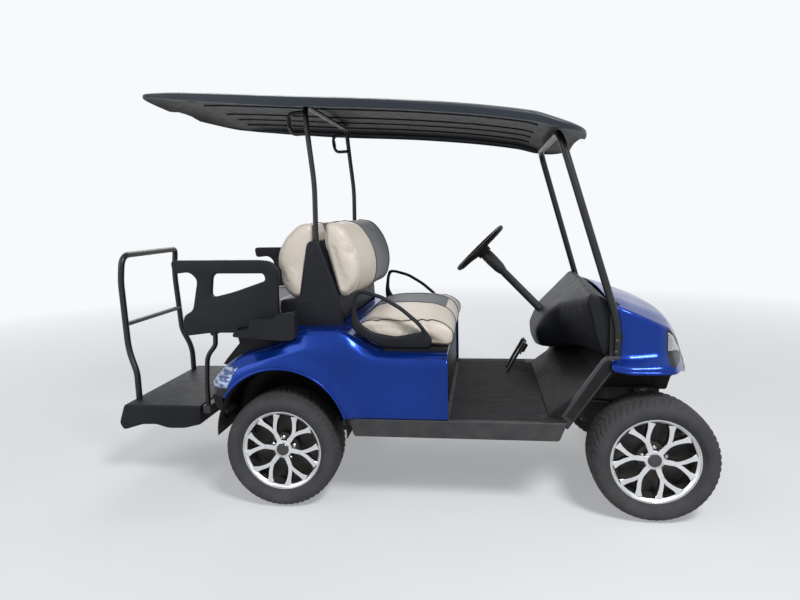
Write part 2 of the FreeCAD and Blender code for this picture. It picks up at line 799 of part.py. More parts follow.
# place along the cart, half width as a share of the roof's, rise of the edge and of the lip below it
ROOF_ROWS = (
    (back(-640), 0.30, 30, 12),
    (back(-618), 0.62, 34, 14),
    (back(-595), 0.82, 36, 15),
    (back(-568), 0.94, 38, 17),
    (back(-535), 0.985, 39, 26),
    (back(-417), 1.0, 38, 40),
    (back(-225), 1.0, 23, 46),
    (back(68), 1.0, -1, 52),
    (back(611), 1.0, -44, 50),
    (front(-525), 1.0, -115, 50),
    (front(-441), 1.0, -148, 46),
    (front(-379), 0.985, -176, 34),
    (front(-338), 0.92, -186, 20),
    (front(-307), 0.80, -186, 16),
    (front(-268), 0.42, -184, 12),
)


def roof_skin(lip):
    """Thickness of the roof's skin, which thins where the lip is shallow."""
    return min(S.roof_wall, lip / 2)


def roof_section(row, solid=False):
    """One cross-section of the roof, a channel that opens downwards, or filled at its ends."""
    x, share, rise, lip = row
    half = S.roof_half * share
    top = ROOF + rise
    crown = top + S.roof_crown
    wall = S.roof_lip_wall
    skin = roof_skin(lip)
    side = [(half, top - lip), (half, top - skin * 0.6), (half - 40, top), (half * 0.3, crown)]
    if solid:
        low = top - lip + 1
        inner = [(half * 0.3, low), (half - 40 - wall, low), (half - wall, low), (half - wall, top - lip)]
    else:
        inner = [
            (half * 0.3, crown - skin), (half - 40 - wall, top - skin), (half - wall, top - skin * 1.5),
            (half - wall, top - lip),
        ]
    loop = side + [(-y, z) for y, z in reversed(side)]
    loop += [(-y, z) for y, z in reversed(inner)] + inner
    return [(x, y, z) for y, z in loop]


roof_sections = [roof_section(row, solid=row in (ROOF_ROWS[0], ROOF_ROWS[-1])) for row in ROOF_ROWS]
keep(shaped("roof", loft(roof_sections)))


def ceiling_at(place, y):
    """Height of the roof's underside over a place beside the centre plane, and its steepness."""
    for (x, share, rise, lip), (next_x, next_share, next_rise, _) in zip(ROOF_ROWS, ROOF_ROWS[1:]):
        if x <= place <= next_x:
            part_way = (place - x) / (next_x - x)
            half = S.roof_half * (share + (next_share - share) * part_way)
            edge = half - 40 - S.roof_lip_wall
            bulge = S.roof_crown * max(0, edge - y) / (edge - half * 0.3)
            height = ROOF + rise + (next_rise - rise) * part_way - roof_skin(lip) + bulge
            return height, math.atan2(next_rise - rise, next_x - x)
    raise ValueError("no roof over that place")


# Front and rear roof hoops


def hoop_height(place, half, radius):
    """Height of a hoop's cross bar, just under the roof where its bends end."""
    height, slope = ceiling_at(place, half - S.strut_bend)
    return height - (radius + 4 * S.seat_gap) / math.cos(slope)


hoop_x = front(-405)
front_path = [
    (front(-157), S.front_strut_half, LEG_TOP),
    (front(-157), S.front_strut_half, LEG_TOP + 138),
    (hoop_x, S.front_hoop_half, hoop_height(hoop_x, S.front_hoop_half, S.front_strut_radius)),
]
FRONT_HOOP = front_path + [(x, -y, z) for x, y, z in reversed(front_path)]
keep(tube("front_struts", FRONT_HOOP, S.front_strut_radius, S.strut_bend))

STRUT_X = back(172)
rear_x = back(144)
HUMP = DECK + 112
rear_path = [
    (STRUT_X, S.rear_strut_half, HUMP),
    (STRUT_X, S.rear_strut_half, DECK + 534),
    (STRUT_X + 4, S.rear_strut_half, DECK + 762),
    (back(155), S.rear_strut_half, DECK + 976),
    (rear_x, S.rear_strut_half - 5, hoop_height(rear_x, S.rear_strut_half - 5, S.rear_strut_radius)),
]
REAR_HOOP = rear_path + [(x, -y, z) for x, y, z in reversed(rear_path)]
rear_hoop = tube("rear_hoop", REAR_HOOP, S.rear_strut_radius, S.strut_bend)

HANDLE_SIDE = S.rear_strut_half - S.rear_strut_radius
handle_path = [
    (back(148), HANDLE_SIDE, DECK + 992), (back(74), HANDLE_SIDE, DECK + 990),
    (back(62), HANDLE_SIDE, DECK + 1082), (back(140), HANDLE_SIDE, DECK + 1086),
]
handles = []
for side in (1, -1):
    path = [(x, y * side, z) for x, y, z in handle_path]
    handles.append(tube(f"handle_{side + 1}", path, S.handle_radius, 24.0))
keep(fuse("rear_struts", [rear_hoop] + handles))

# Seats

# the frame's rear and front faces, which the backs lie against: place from the rear axle, rise above the deck
FRAME_REAR = ((101, 240), (120, 370), (152, 489))
FRAME_FRONT = ((230, 505), (272, 240))
frame_rows = on(
    DECK, ((150, 112), (106, 145)) + FRAME_REAR + ((160, 505),) + FRAME_FRONT + ((287, 145), (270, 112))
)
frame_half = S.rear_strut_half - 2 * S.rear_strut_radius
seat_frame = prism("seat_frame_middle", [frame_rows], -frame_half, frame_half)
cover_rows = on(DECK, ((106, 145), (112, 240), (156, 488), (224, 500), (266, 240), (280, 145)))
frame_parts = [seat_frame]
for name, side in (("left", 1), ("right", -1)):
    span = sorted((frame_half * side, (S.rear_strut_half + 20) * side))
    frame_parts.append(prism(f"strut_cover_{name}", [cover_rows], *span))
hoop_holes = []
for name, side in (("left", 1), ("right", -1)):
    path = [(x, y * side, z) for x, y, z in rear_path[:3]]
    hoop_holes.append(tube(f"cover_hole_{name}", path, S.rear_strut_radius + S.seat_gap, S.strut_bend))
keep(cut("seat_back_frame", fuse("seat_frame_blank", frame_parts), fuse("cover_holes", hoop_holes)))



def crowned(label, half, edge_rows, middle_rows):
    """A cushion whose side view grows from its ends to its middle."""
    views = ((-half, edge_rows), (-S.seat_crown_half, middle_rows), (S.seat_crown_half, middle_rows), (half, edge_rows))
    return shaped(label, loft([[(x, y, z) for x, z in rows] for y, rows in views]))


rear_face = [(x - 1.1 * S.seat_gap, z) for x, z in on(DECK, FRAME_REAR)]
front_face = [(x + 1.1 * S.seat_gap, z) for x, z in on(DECK, FRAME_FRONT)]
back_edge_rows = on(
    DECK,
    ((238, 604), (262, 600), (300, 560), (335, 490), (358, 420), (365, 372), (356, 315), (330, 268), (300, 235), (282, 224)),
)
back_middle_rows = on(
    DECK,
    ((238, 604), (272, 602), (330, 568), (378, 500), (404, 432), (410, 382), (396, 313), (360, 265), (318, 236), (282, 224)),
)
keep(
    crowned(
        "front_seat_back", S.seat_half - 14, front_face[:1] + back_edge_rows + front_face[1:],
        front_face[:1] + back_middle_rows + front_face[1:],
    )
)
rear_back_rows = on(
    DECK, ((158, 597), (98, 590), (29, 529), (-8, 467), (-18, 410), (8, 282), (52, 237))
) + rear_face
keep(prism("rear_seat_back", [rear_back_rows], -S.seat_half + 14, S.seat_half - 14))

SEAT_LOW = DECK + S.seat_gap
SEAT_BASE = SEAT_LOW + S.seat_board
SEAT_HINGE = (back(788), DECK + 4)
board_rows = [(back(490), SEAT_LOW), (back(490), SEAT_BASE), (back(778), SEAT_BASE), (back(778), SEAT_LOW)]
BOARD_HALF = S.loop_inner + S.loop_width
keep(prism("front_seat_board", [board_rows], -BOARD_HALF, BOARD_HALF))
cushion_edge_rows = on(
    DECK,
    (
        (400, 52), (356, 84), (350, 102), (372, 120), (470, 131), (590, 133), (700, 128), (768, 112), (808, 80),
        (814, 40),
    ),
)
cushion_middle_rows = on(
    DECK,
    (
        (400, 52), (356, 86), (350, 118), (372, 146), (470, 166), (590, 170), (700, 160), (772, 132), (812, 88),
        (814, 40),
    ),
)
cushion_foot = [(back(802), SEAT_BASE), (back(480), SEAT_BASE)]
keep(
    crowned(
        "front_seat_cushion", S.seat_half, cushion_edge_rows + cushion_foot, cushion_middle_rows + cushion_foot
    )
)

# Hip restraints: a closed loop each side, carried by the front seat's board

loop_outer = on(
    DECK,
    (
        (351, 244), (365, 281), (402, 280), (487, 256), (576, 201), (653, 134), (711, 55),
        (698, S.seat_gap + S.seat_board), (500, S.seat_gap + S.seat_board), (393, 60), (345, 96), (338, 150),
    ),
)
loop_inner = on(
    DECK, ((385, 164), (392, 258), (468, 238), (546, 193), (605, 138), (646, 79), (542, 75), (450, 96), (396, 133))
)
hip_loop = prism("hip_restraint_left", [loop_outer, loop_inner], S.loop_inner, S.loop_inner + S.loop_width)
keep(pair("hip_restraints", hip_loop))

# Rear seat: tube frame, flip deck and cushion, armrests with trays, footrest and grab bar

ARM_INNER = S.body_half - S.arm_inset
RAIL_TOP = REAR_DECK
frame_height = RAIL_TOP - S.leg_radius - S.seat_gap
leg_path = [
    (LEG_FOOT, S.leg_side, LEG_FOOT_HEIGHT), (LEG_FOOT, S.leg_side, DECK - 189),
    (back(-436), S.leg_side, DECK - 63), (back(-389), S.leg_side, DECK - 8),
    (back(-385), S.leg_side, frame_height), (back(106), S.leg_side, frame_height),
]
legs = []
for side in (1, -1):
    legs.append(
        tube(f"rear_leg_{side + 1}", [(x, y * side, z) for x, y, z in leg_path], S.leg_radius, 40.0)
    )
for number, place in enumerate((-330, -20)):
    reach = ARM_INNER - S.seat_gap
    legs.append(
        rod(f"rear_cross_{number}", (back(place), -reach, frame_height), "Y", S.leg_radius, 2 * reach)
    )
keep(fuse("rear_seat_frame", legs))

FLIP_HINGE = (back(-455), REAR_DECK + S.seat_board / 2)
deck_rows = [
    (back(-450), REAR_DECK), (back(-450), REAR_DECK + S.seat_board), (back(-30), REAR_DECK + S.seat_board),
    (back(-30), REAR_DECK),
]
keep(prism("rear_seat_deck", [deck_rows], -S.rear_seat_half, S.rear_seat_half))
CUSHION_LOW = REAR_DECK + S.seat_board + S.seat_gap
cushion_rows = [
    (back(-446), CUSHION_LOW), (back(-450), CUSHION_LOW + 40), (back(-436), CUSHION_LOW + 78),
    (back(-400), CUSHION_LOW + 92), (back(-90), CUSHION_LOW + 92), (back(-44), CUSHION_LOW + 70),
    (back(-34), CUSHION_LOW),
]
keep(prism("rear_seat_cushion", [cushion_rows], -S.rear_seat_half + 6, S.rear_seat_half - 6))

panel = on(
    DECK,
    (
        (-500, 431), (-66, 427), (-16, 420), (20, 380), (10, 306), (8, 178), (102, 178), (98, 76),
        (40, 66), (-122, 74), (-187, 90), (-320, 90), (-463, 73), (-455, 170), (-406, 196), (-374, 341), (-411, 376),
        (-492, 368),
    ),
)
window = on(DECK, ((-314, 255), (-300, 368), (-52, 366), (-44, 333), (-206, 280)))
armrest = new_body("armrest_left")
arm_out = ARM_INNER + S.arm_width
pad(armrest, "armrest_panel", [panel, window], ARM_INNER, arm_out)
tray = on(DECK, ((-190, 78), (-190, 112), (6, 112), (6, 178), (102, 178), (98, 76), (40, 67), (-122, 75)))
pad(armrest, "armrest_tray", [tray], arm_out - 5, ARM_INNER + S.tray_width)
CUP_X = back(54)
CUP_Y = ARM_INNER + S.tray_width - S.cup_radius - 6
CUP_LOW = DECK + 84
CUP_TOP = DECK + 178
cup_bore = rod("cup_bore", (CUP_X, CUP_Y, CUP_LOW), "Z", S.cup_radius, CUP_TOP - CUP_LOW + 5)
keep(pair("rear_armrests", cut("armrest_with_cup", armrest, cup_bore)))

REST_TOP = FLOOR - 17
REST_BACK = REAR_AXLE - S.rear_reach + S.rest_inset
rest_rows = [
    (REST_FRONT, REST_TOP), (REST_FRONT, REST_TOP - 97), (back(-569), REST_TOP - 120),
    (back(-657), REST_TOP - 122), (back(-722), REST_TOP - 103), (back(-796), REST_TOP - 105),
    (REST_BACK + 21, REST_TOP - 137), (REST_BACK, REST_TOP - 101), (REST_BACK + 35, REST_TOP),
]
WELL_DEPTH = 200
footrest = new_body("footrest")
pad(footrest, "footrest_pad", [rest_rows], -S.rest_half, S.rest_half)
well_rows = [
    (REST_FRONT - S.rest_wall, REST_TOP - S.rest_wall), (REST_FRONT - S.rest_wall, REST_TOP - WELL_DEPTH),
    (REST_BACK + 10, REST_TOP - WELL_DEPTH), (REST_BACK + 13, REST_TOP - 101),
    (REST_BACK + 43, REST_TOP - S.rest_wall),
]
pocket(footrest, "footrest_well", [well_rows], -S.rest_half + S.rest_wall, S.rest_half - S.rest_wall)
keep(footrest)

GRAB_BACK = REAR_AXLE - S.rear_reach + S.grab_radius
grab_half_path = [
    (GRAB_BACK + 64, S.grab_half + 28, REST_TOP), (GRAB_BACK + 64, S.grab_half + 28, DECK - 169),
    (GRAB_BACK + 16, S.grab_half + 10, DECK - 53), (GRAB_BACK, S.grab_half, DECK + 304),
    (GRAB_BACK + 18, S.grab_half, DECK + 443),
]
grab_path = grab_half_path + [(x, -y, z) for x, y, z in reversed(grab_half_path)]
hoop = tube("grab_hoop", grab_path, S.grab_radius, S.grab_bend)
rung_y = S.grab_half + 4
rung = rod("grab_rung", (GRAB_BACK + 13.5, -rung_y, DECK + 84), "Y", S.grab_radius - 4, 2 * rung_y)
keep(fuse("grab_bar", [hoop, rung]))

# Steering wheel and column


def steering_piece(thing, offset):
    """Set a piece that was made upright at the origin on the steering axis."""
    place = VECTOR(*STEER_CENTRE) + AXIS * offset
    thing.Placement = FreeCAD.Placement(place, FreeCAD.Rotation(VECTOR(0, 1, 0), -float(S.wheel_tilt)))
    return thing


rim_tube = DOC.addObject("Part::Torus", "steering_rim")
bind(rim_tube, "Radius1", S.steer_radius)
bind(rim_tube, "Radius2", S.steer_tube)
hub_block = rod("steering_hub", (0, 0, -COLUMN_TOP + S.seat_gap), "Z", S.steer_hub, COLUMN_TOP + 4)
wheel_parts = [rim_tube, hub_block]
for number, angle in enumerate((75, 180, 285)):
    arm = DOC.addObject("Part::Box", f"steering_spoke_{number}")
    bind(arm, "Length", S.steer_radius)
    bind(arm, "Width", 2 * S.steer_tube)
    bind(arm, "Height", S.steer_tube)
    turned = FreeCAD.Rotation(VECTOR(0, 0, 1), angle)
    corner = turned.multVec(VECTOR(0, -S.steer_tube, -S.steer_tube / 2))
    arm.Placement = FreeCAD.Placement(corner, turned)
    wheel_parts.append(arm)
keep(steering_piece(fuse("steering_wheel", wheel_parts), 0))

shaft = rod("column_shaft", (0, 0, -COLUMN_TOP - COLUMN_LENGTH), "Z", S.column_radius, COLUMN_LENGTH)
shroud = rod("column_shroud", (0, 0, -COLUMN_TOP - 80), "Z", S.column_radius + 12, 80)
keep(steering_piece(fuse("steering_column", [shaft, shroud]), 0))

pedal_rows = [
    (front(-606), FLOOR), (front(-590), FLOOR), (front(-520), FLOOR + 128), (front(-505), FLOOR + 116),
    (front(-480), FLOOR + 160), (front(-508), FLOOR + 176), (front(-532), FLOOR + 132),
]
pedals = []
for name, low, high in (("brake", 210, 310), ("throttle", 340, 400)):
    pedals.append(prism(f"pedal_{name}", [pedal_rows], S.steer_side - 280 + low, S.steer_side - 280 + high))
pedal_set = DOC.addObject("Part::Compound", "pedals")
pedal_set.Links = pedals
keep(pedal_set)

# Front axle, knuckles and tie rod

EAR = 22
EAR_GAP = 5
ear_low = AXLE_HEIGHT - S.knuckle_height / 2 - EAR_GAP - EAR
ear_high = AXLE_HEIGHT + S.knuckle_height / 2 + EAR_GAP
yoke_x = (FRONT_AXLE - 24, FRONT_AXLE + 24)
WEB = S.kingpin_side - S.knuckle_radius - 8
beam = [rod("beam_tube", (FRONT_AXLE, -WEB + 5, AXLE_HEIGHT), "Y", S.beam_radius, 2 * (WEB - 5))]
for name, side in (("left", 1), ("right", -1)):
    for level, low in (("low", ear_low), ("high", ear_high)):
        span = sorted((WEB * side, (S.kingpin_side + 20) * side))
        ear = block(f"ear_{name}_{level}", yoke_x, span, (low, low + EAR))
        beam.append(ear)
    span = sorted(((WEB - 16) * side, WEB * side))
    beam.append(block(f"web_{name}", yoke_x, span, (ear_low, ear_high + EAR)))
    span = sorted(((S.rail_centre - 28) * side, (S.rail_centre + 28) * side))
    beam.append(block(f"pad_{name}", (FRONT_AXLE - 40, FRONT_AXLE + 40), span, (AXLE_HEIGHT - 10, AXLE_HEIGHT + 25)))
beam_blank = fuse("beam_blank", beam)
bores = []
for name, side in (("left", 1), ("right", -1)):
    bores.append(
        rod(
            f"ear_bore_{name}", (FRONT_AXLE, S.kingpin_side * side, ear_low - 1), "Z",
            S.kingpin_radius + S.running_fit, ear_high - ear_low + EAR + 2,
        )
    )
keep(cut("front_axle", beam_blank, fuse("ear_bores", bores)))

ARM_HEIGHT = AXLE_HEIGHT - 32
HUB_OUT = WHEEL_SIDE + S.bead_half - 6
for name, side in (("left", 1), ("right", -1)):
    y = S.kingpin_side * side
    low_end = S.kingpin_side + 4
    spindle_start = (FRONT_AXLE, (low_end if side > 0 else -HUB_OUT), AXLE_HEIGHT)
    pieces = [
        rod(
            f"knuckle_barrel_{name}", (FRONT_AXLE, y, AXLE_HEIGHT - S.knuckle_height / 2), "Z",
            S.knuckle_radius, S.knuckle_height,
        ),
        rod(f"kingpin_{name}", (FRONT_AXLE, y, ear_low), "Z", S.kingpin_radius, ear_high - ear_low + EAR),
        rod(f"spindle_{name}", spindle_start, "Y", S.spindle_radius, HUB_OUT - low_end),
        block(
            f"steering_arm_{name}", (FRONT_AXLE - S.arm_reach - 12, FRONT_AXLE), (y - 11, y + 11),
            (ARM_HEIGHT - 3, ARM_HEIGHT + 9),
        ),
        rod(f"tie_pin_{name}", (FRONT_AXLE - S.arm_reach, y, ARM_HEIGHT - 26), "Z", S.pin_radius, 30),
    ]
    keep(fuse(f"knuckle_{name}", pieces))

ROD_HEIGHT = ARM_HEIGHT - 15
tie_pieces = [
    rod("tie_bar", (FRONT_AXLE - S.arm_reach, -S.kingpin_side, ROD_HEIGHT), "Y", S.rod_radius, 2 * S.kingpin_side)
]
tie_holes = []
for name, side in (("left", 1), ("right", -1)):
    place = (FRONT_AXLE - S.arm_reach, S.kingpin_side * side, ROD_HEIGHT - 10)
    tie_pieces.append(rod(f"tie_eye_{name}", place, "Z", S.pin_radius + 8, 20))
    place = (FRONT_AXLE - S.arm_reach, S.kingpin_side * side, ROD_HEIGHT - 11)
    tie_holes.append(rod(f"tie_hole_{name}", place, "Z", S.pin_radius + S.running_fit, 22))
keep(cut("tie_rod", fuse("tie_blank", tie_pieces), fuse("tie_holes", tie_holes)))

# Rear axle with its brake drums and final drive, and the leaf springs at both ends

half_track = WHEEL_SIDE + S.bead_half - 6
rear_parts = [
    rod("axle_tube", (REAR_AXLE, -WHEEL_SIDE + 60, AXLE_HEIGHT), "Y", S.axle_radius, 2 * (WHEEL_SIDE - 60)),
    rod("axle_stub", (REAR_AXLE, -half_track, AXLE_HEIGHT), "Y", S.spindle_radius, 2 * half_track),
]
for name, side in (("left", 1), ("right", -1)):
    start = (WHEEL_SIDE - 110) if side > 0 else (-WHEEL_SIDE + 50)
    rear_parts.append(rod(f"drum_{name}", (REAR_AXLE, start, AXLE_HEIGHT), "Y", S.drum_radius, 60))
    span = sorted(((S.rail_centre - 28) * side, (S.rail_centre + 28) * side))
    rear_parts.append(block(f"rear_pad_{name}", (REAR_AXLE - 40, REAR_AXLE + 40), span, (AXLE_HEIGHT - 10, AXLE_HEIGHT + 42)))
gear_case = DOC.addObject("Part::Sphere", "gear_case")
gear_case.Radius = 85
settle(gear_case, REAR_AXLE, 0, AXLE_HEIGHT)
rear_parts.append(gear_case)
keep(fuse("rear_axle", rear_parts))


def leaves(label, x, seat):
    """A pair of leaf packs under the rails, from hanger to hanger over the axle's pads."""
    low = AXLE_HEIGHT + seat
    eye = RAIL_LOW
    rows = [
        (x - 250, eye), (x - 250, eye - 16), (x - 40, low), (x + 40, low), (x + 250, eye - 16), (x + 250, eye),
        (x + 220, eye), (x + 40, low + S.leaf_depth), (x - 40, low + S.leaf_depth), (x - 220, eye),
    ]
    half = S.leaf_width / 2
    return pair(label, prism(label + "_left", [rows], S.rail_centre - half, S.rail_centre + half))


springs = DOC.addObject("Part::Compound", "leaf_springs")
springs.Links = [leaves("front_springs", FRONT_AXLE, 25), leaves("rear_springs", REAR_AXLE, 42)]
keep(springs)

# Check and write every piece

DOC.recompute()
for thing in DOC.Objects:
    if "Invalid" in thing.State or "Error" in thing.State:
        raise RuntimeError(f"{thing.Name} failed: {thing.State}")
for thing in NODES:
    shape = thing.Shape
    if shape.isNull() or not shape.isValid() or not shape.Solids:
        raise RuntimeError(f"{thing.Label} has no valid solid")
os.makedirs("parts", exist_ok=True)
for thing in NODES:
    thing.Shape.exportStep(os.path.join("parts", thing.Label + ".step"))
    box = thing.Shape.BoundBox
    print(
        f"{thing.Label:20s} {len(thing.Shape.Solids):2d} solids "
        f"x {box.XMin:8.1f} {box.XMax:8.1f} y {box.YMin:7.1f} {box.YMax:7.1f} z {box.ZMin:7.1f} {box.ZMax:7.1f}"
    )
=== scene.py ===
"""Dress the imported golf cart: painted shells, cushions, wheels, frame tubes, lamps, lights and camera."""
from __future__ import annotations

import json
import logging
import math
from collections.abc import Sequence
from dataclasses import dataclass, replace
from enum import Enum
from functools import cache

import bmesh
import bpy
import numpy as np
from mathutils import Matrix, Vector
from mathutils.bvhtree import BVHTree

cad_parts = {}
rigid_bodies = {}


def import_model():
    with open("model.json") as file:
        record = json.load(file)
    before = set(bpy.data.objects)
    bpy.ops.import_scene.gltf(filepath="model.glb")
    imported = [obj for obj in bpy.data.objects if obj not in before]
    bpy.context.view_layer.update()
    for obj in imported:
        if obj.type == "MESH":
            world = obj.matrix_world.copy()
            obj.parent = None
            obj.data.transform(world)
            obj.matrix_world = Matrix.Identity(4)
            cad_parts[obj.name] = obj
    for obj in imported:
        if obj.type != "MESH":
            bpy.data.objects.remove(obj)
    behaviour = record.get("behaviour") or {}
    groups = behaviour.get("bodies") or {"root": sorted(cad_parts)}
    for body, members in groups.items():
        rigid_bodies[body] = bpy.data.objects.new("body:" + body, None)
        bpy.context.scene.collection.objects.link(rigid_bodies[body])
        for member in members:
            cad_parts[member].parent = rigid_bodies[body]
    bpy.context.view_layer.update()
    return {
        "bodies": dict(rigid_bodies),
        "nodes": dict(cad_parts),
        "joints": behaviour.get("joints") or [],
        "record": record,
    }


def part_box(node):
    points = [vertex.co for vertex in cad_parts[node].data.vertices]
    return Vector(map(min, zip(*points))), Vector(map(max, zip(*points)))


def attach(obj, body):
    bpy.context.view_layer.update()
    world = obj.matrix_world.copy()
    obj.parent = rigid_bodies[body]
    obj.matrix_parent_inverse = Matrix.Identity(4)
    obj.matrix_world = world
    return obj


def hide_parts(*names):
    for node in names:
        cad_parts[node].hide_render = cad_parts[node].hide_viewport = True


LOG = logging.getLogger("golf_cart")
Array = np.ndarray
Piece = bpy.types.Object
Socket = bpy.types.NodeSocket
Colour = tuple[float, float, float]
Point = tuple[float, float, float]
Rows = Sequence[Sequence[float]]
# points as rows of x, y, z, and faces as lists of point numbers
Shape = tuple[Array, list]

# Places that the pieces share with the frame, in metres
REAR_AXLE = -0.499
FRONT_AXLE = 1.170
AXLE_HEIGHT = 0.271
WHEEL_SIDE = 0.480
FLOOR = 0.440
DECK = 0.735
REAR_DECK = 0.829
BULKHEAD_TOP = 0.8044
NOSE = 0.600
ROOF = 1.880
ARCH_CENTRE = (-0.489, 0.355)
ARCH_RADIUS = 0.313
MM = 0.001
# turns rows of x, y, z into their mirror image across the centre plane
MIRROR = np.array([1, -1, 1])
BOTH = (1, -1)


def behind(table: Rows) -> Array:
    """Turn rows of (place from the rear axle, rise above the deck), in mm, into side-view places.

    Args:
        table: Rows of place and rise.

    Returns:
        An array of (x, z) rows in metres.
    """
    return np.asarray(table, dtype=float) * MM + np.array([REAR_AXLE, DECK])


def ahead(table: Rows) -> Array:
    """Turn rows of (place from the front axle, rise above the nose level), in mm, into side-view places.

    Args:
        table: Rows of place and rise.

    Returns:
        An array of (x, z) rows in metres.
    """
    return np.asarray(table, dtype=float) * MM + np.array([FRONT_AXLE, NOSE])


# Curves and surfaces


def spread(x: Array, y: Array | float, z: Array | float) -> Array:
    """Put places along, across and up together, with x, y, z last; any of them may be one number for all."""
    return np.stack(np.broadcast_arrays(x, y, z), axis=-1)


def eased(share: Array) -> Array:
    """Ease a share at both ends: three squares less two cubes."""
    return share * share * (3 - 2 * share)


def smooth_rows(places: Array, rows: Array, wanted: Array) -> Array:
    """Pass a smooth curve through rows of values: a cubic whose slopes never overshoot the rows.

    Args:
        places: Rising places of the rows.
        rows: One row of values at each place.
        wanted: Places to work out.

    Returns:
        One row of values at each wanted place.
    """
    rows = np.asarray(rows, dtype=float)
    step = np.diff(places)[:, None]
    slope = np.diff(rows, axis=0) / step
    inner = slope[:-1] * slope[1:]
    with np.errstate(divide="ignore", invalid="ignore"):
        middle = np.where(inner > 0, 2 * inner / (slope[:-1] + slope[1:]), 0.0)
    tangent = np.vstack([slope[:1], np.nan_to_num(middle), slope[-1:]])
    index = np.clip(np.searchsorted(places, wanted, side="right") - 1, 0, len(places) - 2)
    h = step[index]
    t = ((wanted - places[index])[:, None]) / h
    low, high = rows[index], rows[index + 1]
    return (
        low * (1 + 2 * t) * (1 - t) ** 2
        + high * t**2 * (3 - 2 * t)
        + h * (tangent[index] * t * (1 - t) ** 2 - tangent[index + 1] * t**2 * (1 - t))
    )


def bent(enter: Array, corner: Array, leave: Array, t: Array) -> Array:
    """A quadratic arc from one place to another, drawn towards the corner between them."""
    return enter[:, None] * (1 - t) ** 2 + 2 * corner[:, None] * t * (1 - t) + leave[:, None] * t**2


def rounded_strips(corners: Array, radii: Sequence[float], run: int = 4, arc: int = 5) -> Array:
    """Join corner lines into one surface: straight runs, and a quadratic arc round each inner corner.

    Args:
        corners: Corner lines, shaped (corner, station, 3).
        radii: Reach of the arc at each inner corner, cut to under half of the runs beside it.
        run: Points on each straight run.
        arc: Points on each arc.

    Returns:
        Points shaped (station, across, 3).
    """
    strips = []
    start = corners[0]
    for number in range(1, len(corners) - 1):
        corner, after = corners[number], corners[number + 1]
        before_length = np.linalg.norm(start - corner, axis=1, keepdims=True)
        after_length = np.linalg.norm(after - corner, axis=1, keepdims=True)
        reach = np.minimum(radii[number - 1], 0.46 * np.minimum(before_length, after_length)) + 1e-6
        enter = corner + (start - corner) * reach / np.maximum(before_length, 1e-9)
        leave = corner + (after - corner) * reach / np.maximum(after_length, 1e-9)
        t = np.linspace(0, 1, run, endpoint=False)[None, :, None]
        strips.append(start[:, None] * (1 - t) + enter[:, None] * t)
        strips.append(bent(enter, corner, leave, np.linspace(0, 1, arc)[None, :-1, None]))
        start = leave
    t = np.linspace(0, 1, run + 1)[None, :, None]
    strips.append(start[:, None] * (1 - t) + corners[-1][:, None] * t)
    return np.concatenate(strips, axis=1)


def rounded_loop(points: Rows, radius: float, arc: int = 6) -> Array:
    """Round the corners of a closed outline with quadratic arcs.

    Args:
        points: Corners of the outline, in order.
        radius: Reach of each arc, cut to under half of the sides beside it.
        arc: Points on each arc.

    Returns:
        Points of the rounded outline.
    """
    corner = np.asarray(points, dtype=float)
    before, after = np.roll(corner, 1, axis=0) - corner, np.roll(corner, -1, axis=0) - corner
    before_length = np.linalg.norm(before, axis=1, keepdims=True)
    after_length = np.linalg.norm(after, axis=1, keepdims=True)
    reach = np.minimum(radius, 0.46 * np.minimum(before_length, after_length))
    enter, leave = corner + before / before_length * reach, corner + after / after_length * reach
    return bent(enter, corner, leave, np.linspace(0, 1, arc)[None, :, None]).reshape(-1, corner.shape[1])


def rounded_path(points: Sequence[Point], bend: float, arc: int = 9) -> Array:
    """Round the inner corners of an open path with quadratic arcs.

    Args:
        points: Corners of the path, ends included.
        bend: Reach of each arc along its runs.
        arc: Points on each arc.

    Returns:
        Points along the path.
    """
    corners = np.asarray(points, dtype=float)[:, None, :]
    if len(corners) == 2:
        t = np.linspace(0, 1, 3)[:, None]
        return corners[0] * (1 - t) + corners[1] * t
    return rounded_strips(corners, [bend] * (len(points) - 2), run=2, arc=arc)[0]


def hoop_path(half: Sequence[Point]) -> list[Point]:
    """A path across the cart: one half, and its mirror image from the middle outwards."""
    return [*half, *((x, -y, z) for x, y, z in half[-2::-1])]


def frames_along(path: Array) -> tuple[Array, Array]:
    """Work out two side directions at each point of a path that turn as little as they can.

    Args:
        path: Points along the path.

    Returns:
        The first and second side direction at each point.
    """
    ahead_of = np.gradient(path, axis=0)
    ahead_of /= np.linalg.norm(ahead_of, axis=1, keepdims=True)
    guide = np.eye(3)[int(np.argmin(np.abs(ahead_of).max(axis=0)))]
    side = guide - ahead_of[0] * (guide @ ahead_of[0])
    sides = []
    for direction in ahead_of:
        side = side - direction * (side @ direction)
        side = side / np.linalg.norm(side)
        sides.append(side)
    first = np.array(sides)
    return first, np.cross(ahead_of, first)


def grid_faces(rows: int, columns: int, ring: bool = False, loop: bool = False) -> Array:
    """List the quads of a grid of points.

    Args:
        rows: Number of rows.
        columns: Number of points in a row.
        ring: Whether each row closes on itself.
        loop: Whether the last row joins the first.

    Returns:
        Quads as rows of four point numbers.
    """
    i = np.arange(rows if loop else rows - 1)[:, None]
    j = np.arange(columns if ring else columns - 1)[None, :]
    next_i, next_j = (i + 1) % rows, (j + 1) % columns
    corners = (i * columns + j, next_i * columns + j, next_i * columns + next_j, i * columns + next_j)
    return np.stack([c + 0 * (i + j) for c in corners], axis=-1).reshape(-1, 4)


def capped_faces(rows: int, columns: int) -> list:
    """List the quads of a tube whose rows close on themselves, and the two faces that close its ends."""
    ends = [[row * columns + number for number in range(columns)] for row in (0, rows - 1)]
    return grid_faces(rows, columns, ring=True).tolist() + ends


